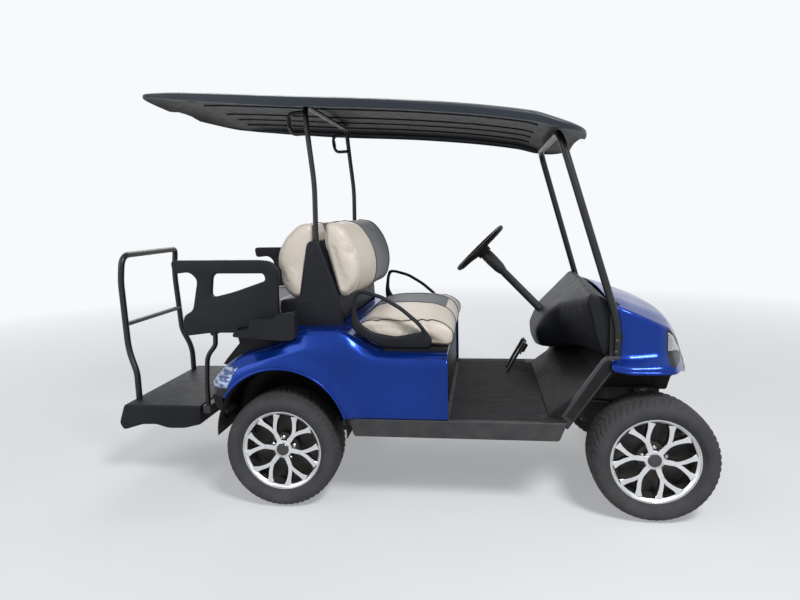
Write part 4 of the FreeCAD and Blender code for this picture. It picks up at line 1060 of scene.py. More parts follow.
@dataclass
class Wheel:
    """One wheel: a tyre with a block tread, and a machined rim with six forked arms."""

    name: str
    x: float
    side: int
    bead_half: float = 0.089
    arms: int = 6
    phase: float = 52.0
    # the tyre's grid, its blocks round the tread and how deep the tread is cut
    section_points: int = 80
    round_points: int = 448
    blocks: int = 56
    tread_depth: float = 0.0042
    tread_start: float = 0.2585
    shoulder_start: float = 0.2535
    # the rim's nuts and the backing behind its arms
    nuts: int = 5
    nut_circle: float = 0.0535
    backing: float = 0.1655

    @property
    def centre(self) -> Array:
        """The wheel's middle."""
        return np.array([self.x, self.side * WHEEL_SIDE, AXLE_HEIGHT])

    def turned_about(self, profile: Rows, sides: int = 64) -> Shape:
        """Turn a profile of (radius, outward place) about the axle."""
        return turned(profile, tuple(self.centre), (0.0, float(self.side), 0.0), sides)

    def set_out(self, radius: Array, angle: Array, out: Array) -> Array:
        """Place points given by radius, angle in radians as seen from outside, and outward place.

        Args:
            radius: Distance from the axle.
            angle: Angle in radians.
            out: Place along the axle, outward.

        Returns:
            Points shaped like the inputs, with x, y, z last.
        """
        return self.centre + spread(radius * np.cos(angle), out * self.side, radius * np.sin(angle))

    def tyre(self) -> None:
        """Make the tyre: the section is a table of rings, and the tread falls into grooves between blocks."""
        rings = np.array(
            [
                (0.180, -0.080), (0.186, -0.084), (0.1945, -0.0925), (0.1985, -0.1010), (0.2035, -0.1080),
                (0.2110, -0.1150), (0.2140, -0.1152), (0.2165, -0.1172), (0.2280, -0.1195), (0.2400, -0.1188),
                (0.2425, -0.1165), (0.2510, -0.1125), (0.2570, -0.1062), (0.2625, -0.0968), (0.2662, -0.0850),
                (0.2686, -0.0660), (0.2700, -0.0440), (0.2708, -0.0200), (0.2710, 0.0),
            ]
        )
        rings = np.vstack([rings, rings[-2::-1] * np.array([1, -1])])
        length = np.concatenate([[0], np.cumsum(np.linalg.norm(np.diff(rings, axis=0), axis=1))])
        section = smooth_rows(length, rings, np.linspace(0, length[-1], self.section_points))
        radius, across = section[:, :1], section[:, 1:]
        turn = np.linspace(0, 2 * math.pi, self.round_points, endpoint=False)[None]
        points = self.set_out(radius - self.tread_depth * self.grooves(radius, across, turn), turn, across)
        faces = grid_faces(self.section_points, self.round_points, ring=True, loop=True)
        piece = new_piece(f"{self.name}_tyre", points, faces, crease=50.0)
        dress(piece, TYRE, [f"tyre_{self.name}"], f"wheel_{self.name}")

    def grooves(self, radius: Array, across: Array, turn: Array) -> Array:
        """Work out how far the tread is cut: cuts across it that bend like a sine, and four cuts round it.

        Args:
            radius: The section's radii.
            across: The section's places across the tyre.
            turn: Angles round the tyre.

        Returns:
            A share of the tread's depth at each point.
        """
        reach = np.abs(across)
        wave = turn * self.blocks + 2.4 * np.sin(reach * 40) * np.sign(across)
        cross_cut = np.clip(1.5 - 6.0 * np.abs(((wave / (2 * math.pi)) % 1.0) - 0.5), 0, 1)
        shoulder = np.clip((reach - 0.068) / 0.012, 0, 1)
        shoulder = shoulder * np.clip((radius - self.shoulder_start) / 0.004, 0, 1) * 0.8
        ring_cut = sum(np.clip(1 - np.abs(reach - place) / 0.0055, 0, 1) for place in (0.030, 0.072))
        tread = np.clip((radius - self.tread_start) / 0.004, 0, 1)
        middle_cut = np.clip(cross_cut * 1.3 - 0.35, 0, 1) * 0.75
        cut_across = np.maximum(cross_cut * shoulder, middle_cut * tread)
        return np.clip(np.maximum(ring_cut * tread, cut_across), 0, 1)

    def arm(self, path: Rows, half: Sequence[float], tops: Sequence[float]) -> Shape:
        """Shape one arm: a flat machined top, sloping sides and an open back that the barrel hides.

        Args:
            path: Rows of (radius, angle in degrees) along the arm.
            half: Half the top's width at each row.
            tops: Outward place of the top at each row.

        Returns:
            The shape.
        """
        steps = 14
        rows = np.column_stack([path, half, tops])
        radius, degrees, wide, top = smooth_rows(np.linspace(0, 1, len(rows)), rows, np.linspace(0, 1, steps)).T
        angle = np.radians(degrees)
        flat = np.stack([radius * np.cos(angle), radius * np.sin(angle)], axis=1)
        run = np.gradient(flat, axis=0)
        run /= np.linalg.norm(run, axis=1, keepdims=True)
        across = np.stack([-run[:, 1], run[:, 0]], axis=1)
        # across the arm, as a share of its half width, and below the top
        profile = np.array(
            [(-1.28, -0.024), (-1.12, -0.006), (-1.03, -0.0012), (-0.94, 0.0), (0.94, 0.0), (1.03, -0.0012),
             (1.12, -0.006), (1.28, -0.024)]
        )
        placed = flat[:, None] + across[:, None] * (profile[None, :, :1] * wide[:, None, None])
        out = top[:, None] + profile[None, :, 1]
        points = self.centre + spread(placed[..., 0], out * self.side, placed[..., 1])
        return points.reshape(-1, 3), capped_faces(steps, len(profile))

    def rim(self) -> None:
        """Make the rim: a stepped barrel, an outer ring, six forked arms, a hub with its cap and five nuts."""
        edge = self.bead_half
        barrel = [
            (0.1905, edge - 0.0015), (0.1890, edge), (0.1850, edge), (0.1835, edge - 0.004), (0.1780, edge - 0.008),
            (0.1730, edge - 0.014), (0.1700, edge - 0.030), (0.1660, edge - 0.050), (0.1660, -edge + 0.030),
            (0.1700, -edge + 0.010), (0.1850, -edge), (0.1905, -edge), (0.1908, -edge + 0.006),
            (0.1785, -edge + 0.009), (0.1780, 0.0), (0.1785, edge - 0.009), (0.1908, edge - 0.006),
            (0.1905, edge - 0.0015),
        ]
        shapes = [self.turned_about(barrel, 96)]
        for number in range(self.arms):
            base = self.phase + number * 360.0 / self.arms
            stem = [(0.026, base), (0.050, base), (0.090, base), (0.104, base)]
            shapes.append(self.arm(stem, [0.0135, 0.0112, 0.0110, 0.0125], [0.071, 0.070, 0.073, 0.074]))
            for fork in BOTH[::-1]:
                prong = [
                    (radius, base + fork * apart)
                    for radius, apart in ((0.084, 1.0), (0.112, 5.5), (0.146, 12.0), (0.1745, 15.8))
                ]
                shapes.append(self.arm(prong, [0.0084, 0.0088, 0.0098, 0.0165], [0.0735, 0.0755, 0.0785, 0.0805]))
        hub = [
            (0.020, -0.035), (0.036, -0.035), (0.036, 0.058), (0.044, 0.060), (0.044, 0.066), (0.0405, 0.0705),
            (0.037, 0.0715), (0.0365, 0.0695), (0.0295, 0.0690),
        ]
        cap = [(0.0295, 0.0640), (0.0290, 0.0745), (0.0270, 0.0765), (0.018, 0.0778), (0.0, 0.0782)]
        backing = [
            (0.030, 0.040), (0.066, 0.040), (0.068, 0.034), (0.070, 0.006), (self.backing, 0.004),
            (self.backing, -0.004), (0.030, -0.004),
        ]
        shapes += [self.turned_about(profile) for profile in (hub, cap, backing)]
        nut = [(0.0, 0.014), (0.006, 0.0135), (0.0095, 0.010), (0.0105, 0.0)]
        for number in range(self.nuts):
            angle = math.radians(self.phase + 36 + number * 360 / self.nuts)
            place = self.set_out(np.array(self.nut_circle), np.array(angle), np.array(0.045))
            shapes.append(turned(nut, tuple(place), (0, self.side, 0), 6))
        piece = new_piece(f"{self.name}_rim", *merged(shapes), crease=28.0)
        dress(piece, RIM_BLACK, [f"rim_{self.name}"], f"wheel_{self.name}")
        for finish in (SILVER, PLATED, CHASSIS):
            piece.data.materials.append(finish.material())
        self.face_finishes(piece)

    def face_finishes(self, piece: Piece) -> None:
        """Set each face's finish: machined where it looks outward near the front, black elsewhere.

        Args:
            piece: The rim.
        """
        black, machined, plated, backing = range(4)
        along, out, up = (read_rows(piece.data.polygons, "center") - self.centre).T
        radius, out = np.hypot(along, up), out * self.side
        outward = read_rows(piece.data.polygons, "normal")[:, 1] * self.side
        paint_faces(piece, (outward > 0.55) & (out > 0.060), machined)
        paint_faces(piece, (radius > 0.1745) & (out > 0.075), machined)
        paint_faces(piece, (radius < 0.0285) & (out > 0.07), black)
        on_nut = (np.abs(radius - self.nut_circle) < 0.0125) & (out > 0.043) & (out < 0.062)
        paint_faces(piece, on_nut, plated)
        paint_faces(piece, (radius < self.backing - 0.0005) & (out < 0.0405), backing)


# Moulded shells


@dataclass
class RearBody:
    """The painted rear shell: flanks with wheel arches, shoulders, the deck and the hump."""

    flank_side: float = 0.581
    bow: float = 0.004
    flare: float = 0.013
    flare_reach: float = 0.085
    shoulder_side: float = 0.540
    deck_side: float = 0.4493
    bay_side: float = 0.420
    bay: tuple[float, float] = (-0.099, 0.241)
    gap_front: float = -0.439
    lamp_side: float = 0.530
    wall: float = 0.006
    stations: int = 170
    # place from the rear axle and rise above the deck: on the flank, then on the shoulder
    rows: tuple = (
        (-300, -190, -328, -133), (-262, -135, -285, -85), (-174, -68, -174, -9), (-63, -30, -63, 22),
        (20, -6, 20, 50), (60, 3, 60, 80), (100, 12, 100, 102), (140, 20, 140, 110), (190, 24, 190, 112),
        (270, 22, 270, 111), (320, 14, 320, 94), (370, 2, 370, 58), (420, -10, 420, 24), (479, -20, 479, 4),
        (600, -30, 600, 0), (782, -35, 780, 0),
    )
    low_line: tuple = ((-0.799, 0.545), (-0.765, 0.533), (-0.199, FLOOR), (0.300, FLOOR))
    # where the arch's circle meets the low line, behind and before its centre
    arch_ends: tuple[float, float] = (ARCH_CENTRE[0] - 0.2592, ARCH_CENTRE[0] + 0.3012)

    def low_edge(self, x: Array) -> Array:
        """Height of the flank's lower edge: the sill line, or the arch's circle where that is higher.

        Args:
            x: Places along the cart.

        Returns:
            Heights.
        """
        line = np.asarray(self.low_line)
        height = np.interp(x, line[:, 0], line[:, 1])
        chord = np.maximum(ARCH_RADIUS**2 - (x - ARCH_CENTRE[0]) ** 2, 0)
        return np.where(chord > 0, np.maximum(height, ARCH_CENTRE[1] + np.sqrt(chord)), height)

    def stations_along(self, first: float, last: float) -> Array:
        """Space stations evenly, with more where the shell is cut, so that the cuts are sharp.

        Args:
            first: The first station, from the rear axle.
            last: The last station.

        Returns:
            The stations from the rear axle.
        """
        cuts = np.array([*self.arch_ends, *self.bay, self.gap_front]) - REAR_AXLE
        even = np.linspace(first, last, self.stations)
        return np.unique(np.round(np.concatenate([even, cuts, cuts[:2] + 0.0004]), 6))

    def surface(self) -> Array:
        """Work out the shell's grid: strips between corner lines, with a flare that swells round the arch.

        Returns:
            Points shaped (station, across, 3), from the driver's side to the other.
        """
        rows = np.asarray(self.rows, dtype=float) * MM
        along, flank_rise, back, rise = smooth_rows(rows[:, 0], rows, self.stations_along(*rows[[0, -1], 0])).T
        x, z = REAR_AXLE + along, DECK + flank_rise
        top_x, top_z = REAR_AXLE + back, DECK + rise
        low = np.minimum(self.low_edge(x), z - 0.003)
        tall = np.clip((z - low) / 0.2, 0, 1)
        corners = [
            spread(x, self.flank_side, low),
            spread(x, self.flank_side + self.bow * tall, low * 0.45 + z * 0.55),
            spread(x, self.flank_side, z),
            spread(top_x, self.shoulder_side, top_z),
            *(spread(top_x, y, top_z + 0.001) for y in (self.deck_side, self.bay_side, 0.0)),
        ]
        half = rounded_strips(np.array(corners), [0.16, 0.045, 0.035, 0.0, 0.0], 6, 7)
        away = np.hypot(half[..., 0] - ARCH_CENTRE[0], half[..., 2] - ARCH_CENTRE[1]) - ARCH_RADIUS
        bulge = eased(np.clip(1 - away / self.flare_reach, 0, 1)) * np.clip((half[..., 1] - 0.545) / 0.03, 0, 1)
        half[..., 1] += self.flare * bulge
        return np.concatenate([half, half[:, -2::-1] * MIRROR], axis=1)

    def build(self) -> None:
        """Make the shell, with its cut-outs, the arch lips, the tail lamps with a painted reflection in their lens
        colour, and the liners.
        """
        points = self.surface()
        faces = grid_faces(*points.shape[:2])
        x, y, z = points.reshape(-1, 3)[faces].mean(axis=1).T
        near = 0.0001
        bay = (x > self.bay[0] - near) & (x < self.bay[1] + near) & (np.abs(y) < self.bay_side + near)
        gap = (x < self.gap_front + near) & (np.abs(y) < self.deck_side)
        in_lamp = self.in_lamp(x, z) & (np.abs(y) > self.lamp_side)
        shell = new_piece("body_shell", points, faces[~(bay | gap | in_lamp)], (-0.2, 0.0, 0.45), 32.0)
        walled(shell, self.wall)
        dress(shell, REAR_BLUE, ["rear_body"])
        self.arch_lips()
        # the tail lamps' lens colour is a painted reflection
        lamps = new_piece("tail_lamps", points, faces[in_lamp], (-0.2, 0.0, 0.55), 40.0)
        walled(lamps, 0.02)
        dress(lamps, painted_reflection_lens())
        self.liners()

    def in_lamp(self, x: Array, z: Array) -> Array:
        """Tell which side-view places lie in the tail lamp: behind a slanting line at the rear corner.

        Args:
            x: Places along the cart.
            z: Heights.

        Returns:
            True where the place is in the lamp.
        """
        low, high = -0.158, -0.062
        rise = z - DECK
        return (x - REAR_AXLE < -0.238 + (rise - low) * 0.55) & (rise > low) & (rise < high)

    def arch_lips(self) -> None:
        """Make the rolled lip round each wheel arch: a small bead carried along the arch's circle."""
        radius, rear_end = ARCH_RADIUS + 0.004, 0.530
        start = math.asin((FLOOR - ARCH_CENTRE[1]) / ARCH_RADIUS)
        end = math.pi - math.asin((rear_end - ARCH_CENTRE[1]) / ARCH_RADIUS)
        angle = np.linspace(start, end, 72)
        path = spread(ARCH_CENTRE[0] + radius * np.cos(angle), 0.5935, ARCH_CENTRE[1] + radius * np.sin(angle))
        shape = swept(path, superellipse(0.0072, 0.0062, 2.6, 14))
        dress(new_piece("arch_lips", *merged(both_sides(shape))), BLUE)

    def liners(self) -> None:
        """Make the wheel arch liners: a roof along the arch's circle, and an inner wall down to the frame."""
        angle = np.radians(np.linspace(-2, 182, 60))
        cos, sin = np.cos(angle), np.sin(angle)
        inner, outer, low = 0.350, 0.583, 0.150
        roof, bend = ARCH_RADIUS - 0.004, 0.012
        rings = ((roof, outer), (roof, inner + bend), (roof - bend, inner), (low, inner))
        points = np.array([spread(ARCH_CENTRE[0] + r * cos, y, ARCH_CENTRE[1] + r * sin) for r, y in rings])
        shape = merged(both_sides((points.reshape(-1, 3), grid_faces(*points.shape[:2]))))
        piece = new_piece("wheel_arch_liners", *shape, (ARCH_CENTRE[0], 0.0, 0.75), 40.0)
        walled(piece, 0.002)
        dress(piece, BLACK_MOULDING, stands_for=["arch_liners"])


@dataclass
class FrontCowl:
    """The painted front shell: bonnet, nose and fenders, with the headlamps and the black bumper."""

    half: float = 0.578
    wall: float = 0.006
    behind_skin: Point = (1.05, 0.0, 0.62)
    # the lamps: where they start and end from the front axle, and their columns of the shell's grid
    lamp_places: tuple[float, float] = (0.058, 0.140)
    lamp_columns: tuple[int, int] = (26, 35)
    lamp_depth: float = 0.016
    lamp_middle: float = 0.165
    lamp_half_height: float = 0.026
    bumper_half: float = 0.279
    # place from the front axle, half width as a share, rise of the lower edge, of the brow, of the
    # crease and of the crown above the nose level, inset of the flank from the fender's edge
    rows: tuple = (
        (-188, 0.96, 72, 118, 345, 392, 60), (-100, 1.0, 62, 118, 312, 364, 60), (0, 1.0, 62, 126, 265, 326, 62),
        (66, 0.96, 60, 130, 232, 296, 76), (112, 0.82, 52, 120, 176, 262, 60), (148, 0.68, 34, 92, 124, 222, 48),
        (176, 0.56, 14, 66, 84, 168, 40), (203, 0.44, 2, 34, 48, 88, 30), (222, 0.30, 2, 14, 22, 36, 20),
    )

    def surface(self, places: Array) -> Array:
        """Work out the shell's grid at some places along the cart.

        Args:
            places: Places from the front axle.

        Returns:
            Points shaped (station, across, 3), from the driver's side to the other.
        """
        rows = np.asarray(self.rows, dtype=float) * np.array([MM, 1, MM, MM, MM, MM, MM])
        x, share, low, brow, crease, crown, flank = smooth_rows(rows[:, 0], rows, places).T
        half = self.half * share
        corners = [
            (half, low),
            (half - 0.004, low + (brow - low) * 0.40),
            (half - flank * 0.92, brow - 0.004),
            (half - flank - 0.004, brow + 0.012),
            (half - flank - 0.012, crease),
            (half * 0.66, crease + (crown - crease) * 0.60),
            (half * 0.30, crown - 0.002),
            (0 * half, crown),
        ]
        lines = np.array([spread(FRONT_AXLE + x, y, NOSE + rise) for y, rise in corners])
        side = rounded_strips(lines, [0.016, 0.020, 0.014, 0.016, 0.10, 0.10], 5, 6)
        return np.concatenate([side, side[:, -2::-1] * MIRROR], axis=1)

    def build(self) -> None:
        """Make the shell, its lip, the headlamps, the bumper and the inner fenders."""
        places = np.unique(np.concatenate([np.linspace(-0.188, 0.222, 90), [self.lamp_places[0], 0.150]]))
        grid = self.surface(places)
        nose = grid[-1:].copy()
        nose[..., 0] += 0.002
        nose[..., 1:] = nose[..., 1:] * 0.55 + nose[..., 1:].mean(axis=1, keepdims=True) * 0.45
        closing = np.repeat(nose.mean(axis=1, keepdims=True), grid.shape[1], axis=1)
        points = np.concatenate([grid, nose, closing])
        faces = grid_faces(*points.shape[:2])
        in_lamp = self.in_lamp(points, faces)
        shell = new_piece("front_shell", points, faces[~in_lamp], self.behind_skin, 30.0)
        walled(shell, self.wall)
        dress(shell, FRONT_BLUE, ["front_cowl"])
        lens = new_piece("headlamp_lenses", points, faces[in_lamp], self.behind_skin, 50.0)
        walled(lens, 0.003)
        dress(lens, clear_lens())
        self.reflectors(points, faces[in_lamp])
        self.fender_lip(grid)
        self.bumper()
        self.wells()

    def in_lamp(self, points: Array, faces: Array) -> Array:
        """Tell which faces of the shell belong to the headlamps: the flank wall between brow and crease.

        Args:
            points: The shell's grid.
            faces: All its faces.

        Returns:
            True for each face in a lamp.
        """
        columns = points.shape[1]
        centre = points.reshape(-1, 3)[faces].mean(axis=1)
        column = faces[:, 0] % columns
        column = np.minimum(column, columns - 2 - column)
        along = centre[:, 0] - FRONT_AXLE
        in_length = (along > self.lamp_places[0]) & (along < self.lamp_places[1])
        in_height = (column >= self.lamp_columns[0]) & (column < self.lamp_columns[1])
        return in_length & in_height & (np.abs(centre[:, 1]) > 0.25)

    def reflectors(self, points: Array, faces: Array) -> None:
        """Make the reflectors behind the lenses: the lens's surface, set in, and black above and below.

        Args:
            points: The shell's grid.
            faces: The lamp's faces.
        """
        flat = points.reshape(-1, 3).copy()
        flat[:, 0] -= self.lamp_depth
        flat[:, 1] -= np.sign(flat[:, 1]) * self.lamp_depth
        piece = new_piece("headlamp_reflectors", flat, faces, self.behind_skin, 50.0)
        walled(piece, 0.004)
        dress(piece, LAMP_SILVER, ["lamps"])
        piece.data.materials.append(RIM_BLACK.material())
        height = read_rows(piece.data.polygons, "center")[:, 2]
        paint_faces(piece, np.abs(height - NOSE - self.lamp_middle) > self.lamp_half_height, 1)

    def fender_lip(self, grid: Array) -> None:
        """Make the rolled lip along the fenders' lower edge: a bead along the grid's first column.

        Args:
            grid: The shell's grid.
        """
        path = grid[2:-8:2, 0] + np.array([0, -0.003, 0.001])
        shape = swept(path, superellipse(0.0065, 0.0050, 2.4, 12))
        dress(new_piece("fender_lips", *merged(both_sides(shape))), BLUE)

    def bumper(self) -> None:
        """Make the black bumper below the nose: a side view that draws back by a cube towards its ends."""
        side_view = ahead(((60, -2), (222, -2), (217, -14), (176, -26), (149, -89), (60, -89)))
        across = np.linspace(-1, 1, 41)
        loops = rounded_loop(side_view, 0.012)[None].repeat(len(across), axis=0)
        pull = 0.060 * np.abs(across) ** 3.0
        loops[..., 0] -= pull[:, None] * np.clip((loops[..., 0] - FRONT_AXLE - 0.060) / 0.16, 0, 1)
        piece = new_piece("bumper", *side_loft(loops, self.bumper_half * across), crease=45.0)
        dress(piece, BLACK_MOULDING, stands_for=["front_bumper"])

    def wells(self) -> None:
        """Make the black inner fenders: a wall beside each wheel, and a sheet below the fenders."""
        x = np.linspace(0.985, 1.262, 14)
        wall_side, low = 0.276, 0.516
        reach = np.interp(x, (0.985, 1.20, 1.262), (0.545, 0.545, 0.515))
        top = 0.652 + 0.006 * np.cos((x - 1.12) * 12)
        corners = [spread(x, wall_side, low), spread(x, wall_side, top), spread(x, reach, top + 0.002)]
        sheet = rounded_strips(np.array(corners), [0.05], 5, 7)
        shape = merged(both_sides((sheet.reshape(-1, 3), grid_faces(*sheet.shape[:2]))))
        piece = new_piece("inner_fenders", *shape, (1.12, 0.0, 0.62), 40.0)
        walled(piece, 0.003)
        dress(piece, BLACK_MOULDING)


@dataclass
class Roof:
    """The moulded roof: a shallow crowned pan with a lip all round and ribs below."""

    half: float = 0.570
    crown: float = 0.025
    lip_wall: float = 0.014
    skin: float = 0.016
    rib_sides: tuple = (0.14, 0.30, 0.435)
    # place along the cart, half width as a share, rise of the edge, depth of the lip
    rows: tuple = (
        (-1.139, 0.30, 30, 12), (-1.117, 0.62, 34, 15), (-1.094, 0.82, 36, 18), (-1.067, 0.94, 38, 22),
        (-1.034, 0.985, 39, 26), (-0.916, 1.0, 36, 38), (-0.724, 1.0, 23, 47), (-0.431, 1.0, -1, 52),
        (0.112, 1.0, -44, 50), (0.645, 1.0, -115, 50), (0.729, 1.0, -142, 46), (0.791, 0.985, -164, 36),
        (0.832, 0.93, -176, 30), (0.863, 0.84, -184, 25), (0.886, 0.68, -190, 22), (0.902, 0.42, -194, 18),
    )

    def values(self, places: Array) -> Array:
        """Half width, rise and lip depth at some places along the cart, in metres."""
        rows = np.asarray(self.rows, dtype=float) * np.array([1, self.half, MM, MM])
        return smooth_rows(rows[:, 0], rows[:, 1:], places)

    def build(self) -> None:
        """Make the pan, black below, and its ribs."""
        even = np.linspace(0, 1, 121)
        # stations lie closer together at the ends, as a cosine does
        share = 0.4 * even + 0.3 * (1 - np.cos(math.pi * even))
        rear, front = self.rows[0][0], self.rows[-1][0]
        places = rear + (front - rear) * share
        half, rise, lip = self.values(places).T
        top = ROOF + rise
        skin = np.minimum(self.skin, lip * 0.5)
        wall = np.minimum(self.lip_wall, half * 0.2)
        bulge = self.crown * np.clip(half / self.half, 0.3, 1)
        outer = [
            (half - 0.004, top - lip), (half, top - skin * 0.9), (half - 0.045, top),
            (half * 0.45, top + bulge * 0.86), (0.0, top + bulge),
        ]
        inner = [
            (0.0, top + bulge - skin), (half * 0.45, top + bulge * 0.86 - skin), (half - 0.045 - wall, top - skin),
            (half - wall, top - skin * 1.7), (half - wall, top - lip),
        ]
        upper, lower = (
            rounded_strips(np.array([spread(places, y, z) for y, z in lines]), radii, 4, arc)
            for lines, radii, arc in ((outer, [0.010, 0.040, 0.12], 7), (inner, [0.12, 0.03, 0.015], 5))
        )
        ring = np.concatenate(
            [upper, upper[:, -2::-1] * MIRROR, (lower * MIRROR)[:, ::-1], lower[:, 1:]], axis=1
        )
        pan = new_piece("roof_pan", ring, capped_faces(*ring.shape[:2]), crease=40.0)
        dress(pan, ROOF_GREY, ["roof"])
        pan.data.materials.append(BLACK_MOULDING.material())
        below = read_rows(pan.data.polygons, "normal")[:, 2] < -0.3
        within = np.abs(read_rows(pan.data.polygons, "center")[:, 1]) < self.half - self.skin
        paint_faces(pan, below & within, 1)
        self.ribs()

    def ribs(self) -> None:
        """Make the long ribs under the roof: rounded strips that follow its underside."""
        places = np.linspace(-0.96, 0.70, 60)
        rise = self.values(places)[:, 1]
        shapes = []
        for y in self.rib_sides:
            bulge = self.crown * np.interp(y, (0.0, 0.2565, 0.511), (1.0, 0.86, 0.0))
            path = spread(places, y, ROOF + rise + bulge - 0.0185)
            shapes += both_sides(swept(path, superellipse(0.014, 0.0035, 3.0, 16)))
        dress(new_piece("roof_ribs", *merged(shapes)), BLACK_MOULDING)


@dataclass
class Dash:
    """The moulded dash, whose side view changes across the cart."""

    half: float = 0.468
    end_radius: float = 0.012
    # side views at four places across the cart: place from the front axle, rise above the nose
    views: tuple = (
        (0.468, ((-460, 101), (-413, 212), (-229, 403), (-191, 385), (-190, 350), (-140, 350), (-140, 100),
                 (-219, 0), (-327, -62), (-422, -41), (-452, 25))),
        (0.100, ((-457, 120), (-413, 212), (-229, 403), (-191, 385), (-190, 350), (-140, 350), (-140, 120),
                 (-219, 60), (-327, 25), (-422, 30), (-447, 70))),
        (-0.060, ((-339, 180), (-349, 280), (-244, 400), (-194, 382), (-190, 350), (-140, 350), (-140, 130),
                  (-199, 85), (-249, 65), (-289, 75), (-319, 120))),
        (-0.468, ((-257, 280), (-281, 360), (-269, 392), (-203, 368), (-190, 350), (-140, 350), (-140, 135),
                  (-169, 100), (-199, 105), (-214, 130), (-239, 200))),
    )

    def build(self) -> None:
        """Make the dash from side views that change smoothly across the cart, with rounded ends."""
        sides = np.array([-view[0] for view in self.views])
        tables = np.array([ahead(view[1]).ravel() for view in self.views])
        ends = np.array([0.002, 0.006, 0.012]) - self.half
        across = np.unique(np.concatenate([np.linspace(-self.half, self.half, 60), ends, -ends]))
        views = smooth_rows(sides, tables, across).reshape(len(across), -1, 2)
        loops = np.array([rounded_loop(view, 0.022, 5) for view in views])
        loops = drawn_in(loops, end_rounding(self.half - np.abs(across), self.end_radius))
        piece = new_piece("dash_moulding", *side_loft(loops, -across), crease=45.0)
        dress(piece, CHARCOAL, stands_for=["dash"])


# Tubes, trim and seats


@dataclass
class Tubes:
    """The tube work: roof struts, handles, grab bar, rear seat legs, and their fittings."""

    front_strut: float = 0.0165
    rear_strut: float = 0.012
    handle: float = 0.009
    grab: float = 0.0158
    rung: float = 0.012
    leg: float = 0.012
    leg_side: float = 0.36
    seat_rail: float = 0.8167

    def build(self) -> None:
        """Make every tube and the bolt heads."""
        self.front_struts()
        self.rear_struts()
        self.grab_bar()
        self.seat_frame()
        self.fittings()

    def joined(self, name: str, shapes: Sequence[Shape], nodes: Sequence[str]) -> None:
        """Join tubes into one black piece that stands for some nodes."""
        dress(new_piece(name, *merged(shapes)), BLACK_TUBE, nodes)

    def front_struts(self) -> None:
        """Make the front hoop: legs that lean back from the cowl and meet under the roof."""
        low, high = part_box("front_struts")
        top = high.z - 0.020
        half = [(1.013, 0.502, low.z), (1.013, 0.502, 0.860), (0.765, 0.438, top), (0.765, 0.0, top)]
        self.joined("front_hoop", [tube(hoop_path(half), self.front_strut, 0.085, 24)], ["front_struts"])

    def rear_struts(self) -> None:
        """Make the rear hoop and the handle loops beside it, with ribbed grips."""
        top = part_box("rear_struts")[1].z - 0.014
        half = [
            (-0.327, 0.427, 0.847), (-0.327, 0.427, 1.269), (-0.323, 0.427, 1.497), (-0.344, 0.427, 1.711),
            (-0.355, 0.422, top), (-0.355, 0.0, top),
        ]
        handle = [(-0.351, 0.415, 1.727), (-0.425, 0.415, 1.725), (-0.437, 0.415, 1.817), (-0.359, 0.415, 1.821)]
        shapes = [tube(hoop_path(half), self.rear_strut), *both_sides(tube(handle, self.handle, 0.03, 16))]
        low, high = np.array(handle[1:3])
        grip = low + (high - low) * np.linspace(0.32, 0.68, 12)[:, None]
        ribs = 1 + 0.1 * np.cos(np.linspace(0, 11 * math.pi, 12))
        shapes += both_sides(swept(grip, circle(self.handle + 0.0015, 16), ribs))
        self.joined("rear_hoop", shapes, ["rear_struts"])

    def grab_bar(self) -> None:
        """Make the rear grab bar: a tall hoop with one rung."""
        half = [
            (-1.361, 0.302, 0.423), (-1.361, 0.302, 0.566), (-1.409, 0.284, 0.682), (-1.4245, 0.274, 1.039),
            (-1.407, 0.274, 1.178), (-1.407, 0.0, 1.178),
        ]
        rung = [(-1.4115, -0.278, 0.819), (-1.4115, 0.278, 0.819)]
        shapes = [tube(hoop_path(half), self.grab, 0.08, 24), tube(rung, self.rung)]
        self.joined("grab_hoop", shapes, ["grab_bar"])

    def seat_frame(self) -> None:
        """Make the rear seat's legs: they rise from the floor bar and run forward under the seat."""
        view = (
            (-0.948, 0.420), (-0.948, 0.546), (-0.935, 0.672), (-0.888, 0.727), (-0.884, self.seat_rail),
            (-0.393, self.seat_rail),
        )
        shapes = both_sides(tube([(x, self.leg_side, z) for x, z in view], self.leg, 0.045))
        for x in (-0.829, -0.519):
            shapes.append(tube([(x, side * 0.5045, self.seat_rail) for side in (-1, 1)], self.leg))
        self.joined("rear_seat_legs", shapes, ["rear_seat_frame"])

    def fittings(self) -> None:
        """Make the bolt heads on the front strut legs and on the rear struts: small turned pieces."""
        large = [(0.0, 0.0055), (0.004, 0.005), (0.0075, 0.002), (0.008, 0.0)]
        small = [(0.0, 0.004), (0.0035, 0.0035), (0.006, 0.0)]
        places = [(large, (x, 0.5192, z)) for x, z in ((1.004, 0.742), (1.008, 0.792), (0.990, 0.700))]
        places += [(small, (-0.3275, 0.439, z)) for z in (0.905, 1.000)]
        shapes = []
        for profile, place in places:
            shapes += both_sides(turned(profile, place, (0, 1, 0), 12))
        dress(new_piece("frame_bolts", *merged(shapes)), AXLE)


